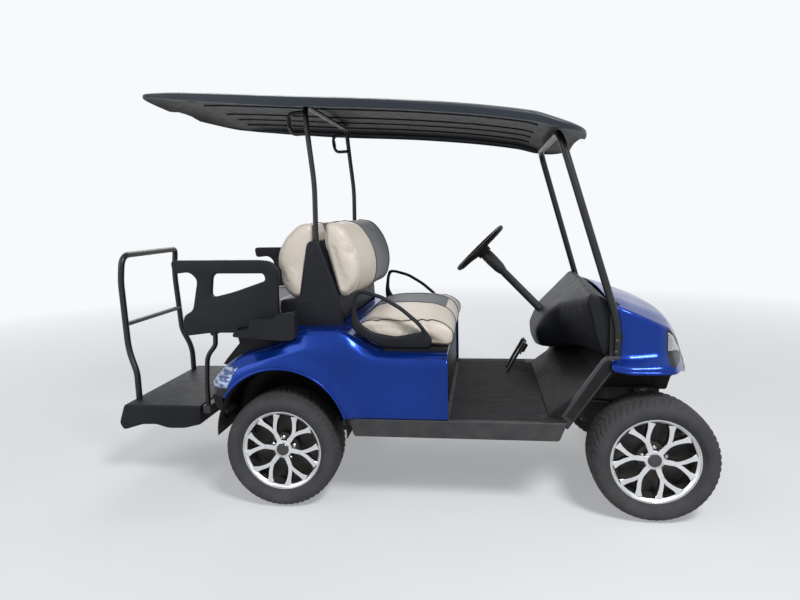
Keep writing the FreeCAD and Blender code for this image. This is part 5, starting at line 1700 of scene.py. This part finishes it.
@dataclass
class Trim:
    """The flat and moulded trim: armrests, hip restraints, footrest, mat, rockers and covers."""

    armrest: tuple[float, float] = (0.505, 0.535)
    hip: tuple[float, float] = (0.476, 0.502)
    cup: Point = (-0.445, 0.556, 0.822)
    cup_depth: float = 0.130
    footrest_half: float = 0.400
    rocker: tuple[float, float] = (0.560, 0.582)
    toe_half: float = 0.485
    leg: tuple[float, float] = (0.4855, 0.519)
    valance_half: float = 0.530
    bulkhead_half: float = 0.449
    kick_half: float = 0.566
    shroud: tuple[float, float] = (0.4395, 0.4485)
    cover: tuple[float, float] = (0.403, 0.447)
    rib_pitch: float = 0.020
    rib_height: float = 0.0035

    def build(self) -> None:
        """Make every trim piece."""
        for make in (
            self.armrests, self.trays, self.hip_restraints, self.footrest, self.rest_patches, self.mat,
            self.rockers, self.toe_board, self.rear_walls, self.shroud_pieces, self.back_covers,
        ):
            make()

    def cut(
        self, name: str, outline: Array, corner: float, across: tuple[float, float], bevel: float,
        finish: Finish = BLACK_MOULDING, stands_for: Sequence[str] = (),
    ) -> Piece:
        """Cut one plate, or a mirrored pair where it doesn't span the centre plane, and dress it.

        Args:
            name: The piece's name.
            outline: Its side view as (x, z) rows.
            corner: Reach of the arcs that round its corners.
            across: Its lowest and highest place across the cart.
            bevel: Radius of its rounded edges.
            finish: Its finish.
            stands_for: Nodes that it replaces.

        Returns:
            The piece.
        """
        sides = (1,) if across[0] < 0 else BOTH
        piece = plate(name, [rounded_loop(outline, corner)], *across, bevel, sides)
        dress(piece, finish, stands_for)
        return piece

    def armrests(self) -> None:
        """Cut the armrest panels with their slanting windows."""
        panel = behind(
            ((-500, 431), (-66, 427), (-16, 420), (20, 380), (10, 306), (8, 178), (8, 120), (6, 112), (-190, 112),
             (-190, 90), (-320, 90), (-463, 73), (-455, 170), (-406, 196), (-374, 341), (-411, 376), (-492, 368))
        )
        window = behind(((-314, 255), (-300, 368), (-52, 366), (-44, 333), (-206, 280)))
        loops = [rounded_loop(panel, 0.022), rounded_loop(window, 0.030)]
        piece = plate("armrest_panels", loops, *self.armrest, 0.006, BOTH)
        dress(piece, CHARCOAL, stands_for=["rear_armrests"])

    def trays(self) -> None:
        """Make the armrest trays: side views drawn in towards both faces, each with a round cup holder."""
        view = behind(
            ((-196, 84), (-186, 108), (-120, 118), (-102, 160), (-90, 168), (10, 168), (24, 192), (98, 196), (106, 186),
             (100, 76), (86, 66), (40, 66), (-122, 75))
        )
        across = np.array([0.530, 0.534, 0.540, 0.590, 0.596, 0.5995])
        inset = np.array([0.004, 0.0012, 0.0, 0.0, 0.0015, 0.006])
        loops = rounded_loop(view, 0.014)[None].repeat(len(across), axis=0)
        loft = side_loft(drawn_in(loops, inset, 0.001), across)
        tray = new_piece("armrest_trays", *merged(both_sides(loft)), crease=45.0)
        cup = [(0.0, 0.0), (0.034, 0.0), (0.0375, 0.006), (0.0385, self.cup_depth), (0.0, self.cup_depth)]
        bore = new_piece("cup_bores", *merged(both_sides(turned(cup, self.cup, (0, 0, 1)))))
        hollow = tray.modifiers.new("cups", "BOOLEAN")
        hollow.object = bore
        hollow.solver = "EXACT"
        whole = made_real(tray)
        for used in (tray, bore):
            bpy.data.objects.remove(used)
        dress(finish_mesh("armrest_trays", whole), CHARCOAL)

    def hip_restraints(self) -> None:
        """Cut the hip restraints, closed loops beside the front seat."""
        outer = behind(
            ((351, 244), (365, 281), (402, 280), (487, 256), (576, 201), (653, 134), (711, 55), (698, 12.5),
             (500, 12.5), (393, 60), (345, 96), (338, 150))
        )
        inner = behind(
            ((362, 168), (367, 236), (379, 264), (402, 263), (480, 240), (566, 187), (638, 124), (668, 88), (545, 66),
             (440, 84), (384, 122))
        )
        loops = [rounded_loop(outer, 0.030), rounded_loop(inner, 0.022)]
        piece = plate("hip_loops", loops, *self.hip, 0.010, BOTH)
        dress(piece, CHARCOAL, stands_for=["hip_restraints"], body="front_seat")

    def footrest(self) -> None:
        """Make the rear footrest: a deep moulded step, arched below."""
        view = np.array(
            [(-0.974, 0.423), (-0.974, 0.326), (-1.068, 0.303), (-1.156, 0.301), (-1.221, 0.320), (-1.295, 0.318),
             (-1.403, 0.286), (-1.424, 0.322), (-1.389, 0.4225)]
        )
        across = (-self.footrest_half, self.footrest_half)
        self.cut("footrest_moulding", view, 0.016, across, 0.008, CHARCOAL, stands_for=["footrest"])

    def rest_patches(self) -> None:
        """Make the raised oval patches on the footrest's slanting rear face."""
        normal = np.array([0.322 - 0.4225, 0.0, 0.035])
        normal /= np.linalg.norm(normal)
        shapes = [self.patch(np.array([-1.4065, y, 0.3722]), normal) for y in (-0.27, 0.0, 0.27)]
        dress(new_piece("footrest_patches", *merged(shapes)), CHARCOAL)

    def patch(self, centre: Array, normal: Array) -> Shape:
        """Shape a low pad on a slanting face: shrinking rounded rectangles, each a little further out.

        Args:
            centre: The pad's middle.
            normal: The way that the face looks.

        Returns:
            The shape.
        """
        across = np.array([0.0, 1.0, 0.0])
        along = np.cross(normal, across)
        loops = []
        for share, rise in ((1.0, -0.002), (1.0, 0.001), (0.96, 0.0035), (0.85, 0.0048), (0.4, 0.0052), (0.02, 0.0053)):
            outline = superellipse(0.105 * share, 0.032 * share, 5.0, 40)
            loops.append(centre + outline[:, :1] * across + outline[:, 1:] * along + normal * rise)
        points = np.array(loops)
        return points.reshape(-1, 3), grid_faces(*points.shape[:2], ring=True).tolist()

    def mat(self) -> None:
        """Make the floor mat with raised ribs: a surface whose height steps up and down across the cart."""
        low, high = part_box("floor_mat")
        x = np.linspace(low.x, high.x, 5)
        y = np.linspace(low.y, high.y, 561)
        ribs = np.clip(np.cos(y * 2 * math.pi / self.rib_pitch) * 3, -1, 1) * 0.5 + 0.5
        within = np.minimum(np.abs(y - low.y), np.abs(high.y - y)) > 0.030
        top = spread(x[:, None], y[None], (high.z - self.rib_height * (1 - ribs * within))[None])
        bottom = top.copy()[:, ::-1]
        bottom[..., 2] = low.z
        ring = np.concatenate([top, bottom], axis=1)
        piece = new_piece("ribbed_mat", ring, capped_faces(*ring.shape[:2]), crease=30.0)
        dress(piece, RUBBER, ["floor_mat"])

    def rockers(self) -> None:
        """Make the rocker panels, and the feet of the strut legs above them."""
        view = np.array([(-0.169, 0.440), (0.798, 0.440), (0.765, 0.356), (-0.147, 0.356)])
        foot = np.array([(0.690, 0.4290), (0.690, 0.4402), (0.794, 0.4402), (0.790, 0.4290)])
        self.cut("rocker_mouldings", view, 0.010, self.rocker, 0.006, ROCKER, ["rocker_panels"])
        self.cut("leg_feet", foot, 0.002, (0.480, 0.575), 0.001)

    def toe_board(self) -> None:
        """Make the toe board below the dash, and the legs with their channels that the struts stand in."""
        board = np.array(
            [(0.725, 0.425), (0.725, 0.447), (0.843, 0.537), (0.951, 0.599), (1.028, 0.696), (1.028, 0.670),
             (0.962, 0.584), (0.856, 0.522), (0.755, 0.425)]
        )
        leg = np.array(
            [(0.774, 0.440), (0.948, 0.700), (0.970, 0.722), (1.028, 0.722), (1.020, 0.696), (0.809, 0.390),
             (0.799, 0.390), (0.799, 0.440)]
        )
        channel = np.array(
            [(0.800, 0.452), (0.952, 0.690), (0.972, 0.706), (1.012, 0.706), (1.006, 0.694), (0.826, 0.430)]
        )
        outside = (self.leg[1] - 0.0005, self.leg[1] + 0.0025)
        across = (-self.toe_half, self.toe_half)
        self.cut("toe_panel", board, 0.006, across, 0.002, RUBBER, ["toe_board"])
        self.cut("strut_legs", leg, 0.010, self.leg, 0.004, SHROUD_GREY)
        self.cut("strut_channels", channel, 0.006, outside, 0.0012)

    def rear_walls(self) -> None:
        """Make the valance below the rear seat, and the bulkhead above it."""
        low_view = behind(
            ((-290, -197.2), (-300, -195.4), (-332, -199), (-344, -220), (-318, -281), (-278, -310), (-266, -300),
             (-290, -270))
        )
        wall = np.array(
            [(-0.721, BULKHEAD_TOP), (-0.713, 0.756), (-0.803, 0.654), (-0.813, 0.654), (-0.723, 0.756),
             (-0.733, BULKHEAD_TOP)]
        )
        low_across = (-self.valance_half, self.valance_half)
        across = (-self.bulkhead_half, self.bulkhead_half)
        self.cut("rear_valance", low_view, 0.012, low_across, 0.004)
        self.cut("rear_bulkhead_panel", wall, 0.004, across, 0.001, stands_for=["rear_bulkhead"])

    def shroud_pieces(self) -> None:
        """Make the shroud below the seats, two walls and a cover, blue towards the front, and the kick panel."""
        side = behind(
            ((-304, -85), (-301, -63), (-223, 25), (-228, 65), (-44, 78), (-20, 102), (325, 102), (325, 70), (110, 40),
             (60, 0), (-60, -40), (-201, -85))
        )
        top = behind(((-228, 65), (-228, 71), (-46, 84), (-22, 108), (325, 108), (325, 102), (-20, 102), (-44, 78)))
        kick = np.array([(0.262, 0.442), (0.262, 0.726), (0.270, 0.726), (0.270, 0.442)])
        outside = self.shroud[1]
        walls = self.cut("under_seat_walls", side, 0.006, self.shroud, 0.002)
        cover = self.cut("under_seat_cover", top, 0.002, (-outside, outside), 0.001)
        blue_from = REAR_AXLE + 0.030
        for piece in (walls, cover):
            piece.data.materials.append(BLUE.material())
            paint_faces(piece, read_rows(piece.data.polygons, "center")[:, 0] > blue_from, 1)
        self.cut("kick_panel", kick, 0.002, (-self.kick_half, self.kick_half), 0.001, CHARCOAL)

    def back_covers(self) -> None:
        """Make the moulded covers between the seat backs, round the rear struts, and the shell between them."""
        view = behind(((-12, 98), (-12, 232), (82, 240), (130, 500), (184, 512), (276, 236), (284, 98)))
        frame = behind(
            ((150, 112), (106, 145), (101, 240), (120, 370), (152, 489), (160, 505), (230, 505), (272, 240),
             (287, 145), (270, 112))
        )
        inside = self.cover[0]
        across = (-inside, inside)
        self.cut("seat_back_covers", view, 0.020, self.cover, 0.010, CHARCOAL)
        self.cut("seat_back_shell", frame, 0.020, across, 0.004, CHARCOAL, stands_for=["seat_back_frame"])


@dataclass(frozen=True)
class Pad:
    """One cushion: its side views at the ends and at the middle, and how it is puffed.

    flat is the way from the centre plane to where the middle's form ends, and swell is how far a point may move
    in the simulation. front_inset is how far the slate insert ends before the cushion's front, where it does.
    """

    name: str
    edge: Array
    middle: Array
    half: float
    flat: float
    stands_for: str
    body: str = "root"
    swell: float = 0.008
    front_inset: float = -1.0
    side_piping: Finish = STONE


@dataclass
class Seats:
    """The padded seats: two cushions and two backs, with slate inserts, seams and piping."""

    puff: float = 4.0
    frames: int = 20
    voxel: float = 0.007
    stations: int = 41
    corner: float = 0.030
    end_radius: float = 0.030
    piping_radius: float = 0.0036

    def pads(self) -> list[Pad]:
        """List the four cushions with their side views.

        Returns:
            The cushions, in the order in which they are made.
        """
        front_edge = behind(
            ((400, 62), (356, 84), (350, 102), (372, 120), (470, 131), (590, 133), (700, 128), (768, 112), (808, 80),
             (812, 50), (802, 14), (480, 14))
        )
        front_middle = behind(
            ((400, 62), (356, 86), (350, 118), (372, 146), (470, 166), (590, 170), (700, 160), (772, 132), (810, 88),
             (812, 50), (802, 14), (480, 14))
        )
        back_edge = behind(
            ((218, 588), (256, 590), (300, 556), (335, 486), (358, 420), (365, 360), (350, 290), (300, 240),
             (274, 244), (208, 490))
        )
        back_middle = behind(
            ((226, 600), (272, 600), (330, 566), (378, 498), (402, 430), (408, 360), (390, 280), (330, 232),
             (274, 240), (218, 500))
        )
        rear = np.array([(-446, 0), (-450, 40), (-436, 78), (-400, 92), (-90, 92), (-44, 70), (-34, 0)]) * MM
        rear_middle = rear + np.array([REAR_AXLE, REAR_DECK + 0.0123])
        rear_edge = rear_middle - np.array([0, 0.010]) * (rear[:, 1:] > 0.05)
        rear_back = behind(
            ((158, 597), (98, 590), (29, 529), (-8, 467), (-18, 410), (8, 282), (52, 237), (101, 240), (120, 370),
             (152, 489))
        )
        rear_back_edge = rear_back + np.array([0.006, -0.006])
        return [
            Pad("front_cushion", front_edge, front_middle, 0.458, 0.165, "front_seat_cushion", "front_seat", 0.010,
                0.062, PIPING),
            Pad("front_back_cushion", back_edge, back_middle, 0.444, 0.21, "front_seat_back"),
            Pad("rear_cushion", rear_edge, rear_middle, 0.471, 0.25, "rear_seat_cushion", "rear_seat",
                front_inset=0.062, side_piping=PIPING),
            Pad("rear_back_cushion", rear_back_edge, rear_back, 0.444, 0.21, "rear_seat_back"),
        ]

    def build(self) -> None:
        """Make the cushions and backs."""
        for pad in self.pads():
            self.cushion(pad)

    def cushion(self, pad: Pad) -> None:
        """Make one cushion: side views grow from its ends to its middle, then cloth pressure puffs it.

        Args:
            pad: What the cushion is made from.
        """
        y = pad.half * np.sin(np.linspace(-math.pi / 2, math.pi / 2, self.stations))
        share = eased(np.clip((pad.half - np.abs(y)) / (pad.half - pad.flat), 0, 1))[:, None, None]
        loops = pad.edge[None] * (1 - share) + pad.middle[None] * share
        loops = np.array([rounded_loop(loop, self.corner, 6) for loop in loops])
        shell = 0.002
        loops = drawn_in(loops, end_rounding(pad.half - np.abs(y), self.end_radius) + shell)
        piece = new_piece(pad.name, *side_loft(loops, y * (1 - 0.004)), crease=60.0)
        self.puffed(piece, pad.swell)
        insert = pad.flat - 0.005
        self.piping(piece, insert, PIPING, pad.body)
        self.piping(piece, pad.half - self.end_radius, pad.side_piping, pad.body)
        subdivision = piece.modifiers.new("smooth", "SUBSURF")
        subdivision.levels = subdivision.render_levels = 1
        vinyl = seat_vinyl(f"{pad.name}_vinyl", insert, pad.edge[:, 0].max() - pad.front_inset)
        dress(piece, vinyl, [pad.stands_for], pad.body)

    def piping(self, cushion: Piece, place: float, finish: Finish, body: str) -> None:
        """Lay piping round a cushion at a distance from the centre plane, on both sides.

        Each point of it is where a ray towards the cushion's middle meets its skin.

        Args:
            cushion: The cushion.
            place: Centre plane to the piping.
            finish: The piping's finish.
            body: The body that it rides on.
        """
        points = read_rows(cushion.data.vertices, "co")
        faces = [tuple(face.vertices) for face in cushion.data.polygons]
        tree = BVHTree.FromPolygons(points.tolist(), faces)
        section = superellipse(self.piping_radius, self.piping_radius, 2.0, 8)
        shapes = []
        for y in (place, -place):
            near = points[np.abs(points[:, 1] - y) < 0.02]
            centre = (near.min(axis=0) + near.max(axis=0)) / 2
            path = []
            for angle in np.linspace(0, 2.04 * math.pi, 140):
                outward = Vector((math.cos(angle), 0.0, math.sin(angle)))
                start = Vector((centre[0], y, centre[2])) + outward
                hit = tree.ray_cast(start, -outward)[0]
                if hit is not None:
                    path.append(tuple(hit))
            shapes.append(swept(np.array(path), section))
        piece = new_piece(f"{cushion.name}_piping_{round(place / MM)}", *merged(shapes))
        dress(piece, finish, body=body)

    def puffed(self, piece: Piece, swell: float) -> None:
        """Puff a cushion: voxel remesh, cloth with pressure and no gravity, and a cap on how far points move.

        Args:
            piece: The cushion.
            swell: The cap, in metres.
        """
        scene = bpy.context.scene
        remesh = piece.modifiers.new("voxels", "REMESH")
        remesh.mode = "VOXEL"
        remesh.voxel_size = self.voxel
        remesh.use_smooth_shade = True
        mesh, old = made_real(piece), piece.data
        piece.modifiers.clear()
        piece.data = mesh
        bpy.data.meshes.remove(old)
        before = read_rows(mesh.vertices, "co")
        cloth = piece.modifiers.new("cloth", "CLOTH")
        cloth.settings.use_pressure = True
        cloth.settings.uniform_pressure_force = self.puff
        cloth.settings.effector_weights.gravity = 0
        cloth.settings.quality = 2
        scene.frame_start, scene.frame_end = 1, self.frames
        cloth.point_cache.frame_start, cloth.point_cache.frame_end = 1, self.frames
        for number in range(1, self.frames + 1):
            scene.frame_set(number)
        result = piece.evaluated_get(bpy.context.evaluated_depsgraph_get()).to_mesh()
        move = read_rows(result.vertices, "co") - before
        piece.modifiers.clear()
        reach = np.linalg.norm(move, axis=1, keepdims=True)
        move *= np.minimum(1.0, swell / np.maximum(reach, 1e-9))
        mesh.vertices.foreach_set("co", (before + move).ravel())
        mesh.update()
        mesh.shade_smooth()
        scene.frame_set(1)


@dataclass
class Controls:
    """The steering wheel, its column and the pedals."""

    centre: Point = (0.422, 0.280, 1.152)
    tilt: float = 44.0
    ring_radius: float = 0.160
    grip_radius: float = 0.0135
    ring_steps: int = 144
    grip_steps: int = 18
    spokes: tuple = (75.0, 180.0, 285.0)
    column_top: float = -0.0465
    pedals_across: tuple = ((0.210, 0.310), (0.340, 0.400))
    pad_ribs: int = 6
    rib_pitch: float = 0.0115

    def on_wheel(self, points: Array) -> Array:
        """Set points made about the origin, with the axis up, on the steering axis.

        Args:
            points: The points.

        Returns:
            The points in their place.
        """
        cos, sin = math.cos(math.radians(self.tilt)), math.sin(math.radians(self.tilt))
        turn = np.array([[cos, 0, -sin], [0, 1, 0], [sin, 0, cos]])
        return np.asarray(points).reshape(-1, 3) @ turn.T + np.array(self.centre)

    def build(self) -> None:
        """Make the wheel, the column and the pedals."""
        self.wheel()
        self.column()
        self.pedals()

    def rim(self) -> Shape:
        """Shape the wheel's rim: a ring whose thickness dips in a row of finger grips.

        Returns:
            The shape.
        """
        angle = np.linspace(0, 2 * math.pi, self.ring_steps + 1)[:-1]
        about = np.linspace(0, 2 * math.pi, self.grip_steps, endpoint=False)
        thick = self.grip_radius + 0.0007 * np.clip(np.sin(angle * 24) * 1.6, -1, 0)
        reach = self.ring_radius + thick[:, None] * np.cos(about)
        cos, sin = np.cos(angle)[:, None], np.sin(angle)[:, None]
        points = spread(reach * cos, reach * sin, thick[:, None] * np.sin(about))
        return points, grid_faces(self.ring_steps, self.grip_steps, ring=True, loop=True).tolist()

    def wheel(self) -> None:
        """Make the wheel: a rim with finger grips, three spokes and a padded hub."""
        shapes = [self.rim()]
        inner, outer = 0.030, 0.152
        reach = np.linspace(inner, outer, 10)
        size = np.interp(reach, (inner, 0.09, outer), (1.25, 0.9, 1.1))
        drop = 0.010 * (reach / outer) ** 2 - 0.012
        for degrees in self.spokes:
            turn = math.radians(degrees)
            path = spread(reach * math.cos(turn), reach * math.sin(turn), drop)
            shapes.append(swept(path, superellipse(0.0055, 0.016, 3.0, 18), size))
        hub = [
            (0.0, 0.004), (0.022, 0.003), (0.034, -0.001), (0.0405, -0.008), (0.042, -0.018), (0.040, -0.0455),
            (0.0, -0.0455),
        ]
        shapes.append(turned(hub, (0, 0, 0), (0, 0, 1)))
        points, faces = merged(shapes)
        piece = new_piece("steering_wheel_grip", self.on_wheel(points), faces, crease=40.0)
        dress(piece, BLACK_MOULDING, stands_for=["steering_wheel"], body="steering_wheel")

    def column(self) -> None:
        """Make the column: a tube that goes into the dash, with a tapered shroud at its top."""
        profile = [
            (radius, self.column_top - drop)
            for radius, drop in (
                (0.0, 0.0), (0.030, 0.0), (0.0335, 0.006), (0.034, 0.050), (0.031, 0.110), (0.0245, 0.135),
                (0.022, 0.140), (0.022, 0.468), (0.0, 0.468),
            )
        ]
        points, faces = turned(profile, (0, 0, 0), (0, 0, 1), 40)
        piece = new_piece("steering_column_tube", self.on_wheel(points), faces, crease=40.0)
        dress(piece, SHROUD_GREY, ["steering_column"])

    def pedals(self) -> None:
        """Make the two pedals: an arm from the floor and a ribbed pad on each."""
        arm = ahead(((-606, -160), (-590, -160), (-520, -32), (-505, -44), (-480, 0), (-508, 16), (-532, -28)))
        loops = rounded_loop(arm, 0.006)[None].repeat(2, axis=0)
        thick = np.array([-0.011, 0.011])
        foot, head = ahead(((-514, -40), (-486, 8)))
        rise = (head - foot) / np.linalg.norm(head - foot)
        up, out = np.array([rise[0], 0.0, rise[1]]), np.array([-rise[1], 0.0, rise[0]])
        shapes = []
        for low, high in self.pedals_across:
            middle = (low + high) / 2
            shapes.append(side_loft(loops, middle + thick))
            for number in range(self.pad_ribs):
                base = np.array([foot[0], 0.0, foot[1]]) + up * (self.rib_pitch * number - 0.006) + out * 0.010
                path = spread(base[0], np.linspace(low, high, 5), base[2])
                shapes.append(swept(path, superellipse(0.0052, 0.0042, 4.0, 12)))
        piece = new_piece("pedal_pads", *merged(shapes), crease=40.0)
        dress(piece, BLACK_MOULDING, ["pedals"])


@dataclass
class Studio:
    """The camera, the soft lights and the pale floor."""

    place: Point = (0.4411, -3.1268, 1.3543)
    yaw: float = 0.1407
    pitch: float = 0.1434
    roll: float = -0.0255
    lens: float = 26.85
    sky: Colour = (0.86, 0.92, 1.0)
    sky_strength: float = 0.26
    white: Colour = (0.93, 0.95, 0.97)
    fade: tuple[float, float] = (2.2, 8.0)
    floor_half: float = 60.0

    def build(self) -> None:
        """Set the camera, the lights, the world and the floor."""
        self.camera()
        self.light("key_light", (2.2, -3.4, 4.6), (0.1, 0.0, 0.6), 1.3, 250.0)
        self.light("fill_light", (-3.6, -3.6, 2.6), (-0.2, 0.0, 0.7), 3.0, 60.0)
        self.light("back_light", (-1.6, 3.8, 3.8), (0.0, 0.0, 0.9), 3.0, 90.0)
        self.world()
        self.floor()
        bpy.context.scene.view_settings.view_transform = "Standard"

    def camera(self) -> None:
        """Set the camera where the photograph was taken, from its fitted place, turn, dip and lean."""
        cos, sin = math.cos, math.sin
        forward = Vector((-sin(self.yaw) * cos(self.pitch), cos(self.yaw) * cos(self.pitch), -sin(self.pitch)))
        right = Vector((cos(self.yaw), sin(self.yaw), 0))
        up = right.cross(forward)
        leaned = right * cos(self.roll) + up * sin(self.roll)
        top = -right * sin(self.roll) + up * cos(self.roll)
        data = bpy.data.cameras.new("camera")
        data.lens = self.lens
        data.sensor_width = 36.0
        data.clip_end = 200.0
        camera = bpy.data.objects.new("camera", data)
        turn = Matrix((leaned, top, -forward)).transposed().to_4x4()
        camera.matrix_world = Matrix.Translation(self.place) @ turn
        bpy.context.scene.collection.objects.link(camera)
        bpy.context.scene.camera = camera

    def light(self, name: str, place: Point, target: Point, size: float, power: float) -> None:
        """Hang one square soft light that looks at a place.

        Args:
            name: The light's name.
            place: Where it hangs.
            target: What it looks at.
            size: Its side.
            power: Its power in watts.
        """
        data = bpy.data.lights.new(name, "AREA")
        data.shape = "SQUARE"
        data.size = size
        data.energy = power
        light = bpy.data.objects.new(name, data)
        light.location = place
        light.rotation_euler = (Vector(target) - Vector(place)).to_track_quat("-Z", "Y").to_euler()
        bpy.context.scene.collection.objects.link(light)

    def world(self) -> None:
        """Make the sky: a soft grey-blue light, seen as plain white by the camera, in gloss and through glass."""
        world = bpy.data.worlds.new("studio")
        bpy.context.scene.world = world
        world.use_nodes = True
        nodes, links = world.node_tree.nodes, world.node_tree.links
        nodes.clear()
        output = nodes.new("ShaderNodeOutputWorld")
        soft, white = nodes.new("ShaderNodeBackground"), nodes.new("ShaderNodeBackground")
        for light, colour, strength in ((soft, self.sky, self.sky_strength), (white, self.white, 1.0)):
            light.inputs["Color"].default_value = (*colour, 1.0)
            light.inputs["Strength"].default_value = strength
        rays, mix = nodes.new("ShaderNodeLightPath"), nodes.new("ShaderNodeMixShader")
        through, seen = nodes.new("ShaderNodeMath"), nodes.new("ShaderNodeMath")
        through.operation = seen.operation = "MAXIMUM"
        links.new(rays.outputs["Is Camera Ray"], through.inputs[0])
        links.new(rays.outputs["Is Transmission Ray"], through.inputs[1])
        links.new(through.outputs["Value"], seen.inputs[0])
        links.new(rays.outputs["Is Glossy Ray"], seen.inputs[1])
        links.new(seen.outputs["Value"], mix.inputs["Fac"])
        links.new(soft.outputs["Background"], mix.inputs[1])
        links.new(white.outputs["Background"], mix.inputs[2])
        links.new(mix.outputs["Shader"], output.inputs["Surface"])

    def fade_to_white(self, graph: Graph) -> None:
        """Let the floor turn into the white backdrop with distance, for the camera and in reflections.

        Args:
            graph: The floor's material.
        """
        distance = graph.add("ShaderNodeVectorMath")
        distance.operation = "LENGTH"
        graph.join(graph.place, distance.inputs[0])
        far = graph.span(distance.outputs["Value"], *self.fade, 0.34, 1.0)
        rays = graph.add("ShaderNodeLightPath").outputs
        seen = graph.sums("MAXIMUM", rays["Is Camera Ray"], rays["Is Transmission Ray"])
        seen = graph.sums("MAXIMUM", seen, rays["Is Glossy Ray"])
        white, mix = graph.add("ShaderNodeEmission"), graph.add("ShaderNodeMixShader")
        white.inputs["Color"].default_value = (*self.white, 1.0)
        graph.join(graph.sums("MULTIPLY", far, seen), mix.inputs["Fac"])
        graph.join(graph.surface.outputs["BSDF"], mix.inputs[1])
        graph.join(white.outputs["Emission"], mix.inputs[2])
        graph.join(mix.outputs["Shader"], graph.output.inputs["Surface"])

    def floor(self) -> None:
        """Lay the plain pale floor."""
        points = np.array([(-1, -1, 0), (1, -1, 0), (1, 1, 0), (-1, 1, 0)]) * self.floor_half
        piece = new_piece("studio_floor", points, [(0, 1, 2, 3)], (0.0, 0.0, -1.0))
        graph = Graph("pale_floor")
        pale = graph.mixed(graph.noise(2.0, 3.0), (0.70, 0.70, 0.70), (0.74, 0.74, 0.74))
        graph.join(pale, graph.surface.inputs["Base Color"])
        graph.set({"Roughness": 0.9, "Specular IOR Level": 0.2})
        self.fade_to_white(graph)
        piece.data.materials.append(graph.material)


def dress_frame(frame: dict) -> None:
    """Give every node that stays its finish.
    """
    chosen = {
        "chassis_frame": CHASSIS, "floor_pan": CHASSIS, "power_unit": CASE_GREY, "front_axle": AXLE,
        "knuckle_left": AXLE, "knuckle_right": AXLE, "tie_rod": PLATED, "rear_axle": AXLE, "leaf_springs": AXLE,
    }
    for name, node in frame["nodes"].items():
        node.data.materials.clear()
        node.data.materials.append(chosen.get(name, BLACK_MOULDING).material())


def main() -> None:
    """Load the frame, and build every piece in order."""
    logging.basicConfig(level=logging.INFO, format="%(message)s")
    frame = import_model()
    dress_frame(frame)
    for name, x, side in (
        ("front_left", FRONT_AXLE, 1), ("front_right", FRONT_AXLE, -1),
        ("rear_left", REAR_AXLE, 1), ("rear_right", REAR_AXLE, -1),
    ):
        wheel = Wheel(name, x, side)
        wheel.tyre()
        wheel.rim()
    for part in (RearBody(), FrontCowl(), Roof(), Dash(), Tubes(), Trim(), Seats(), Controls()):
        part.build()
        LOG.info("%s built", type(part).__name__)
    Studio().build()


if __name__ == "__main__":
    main()
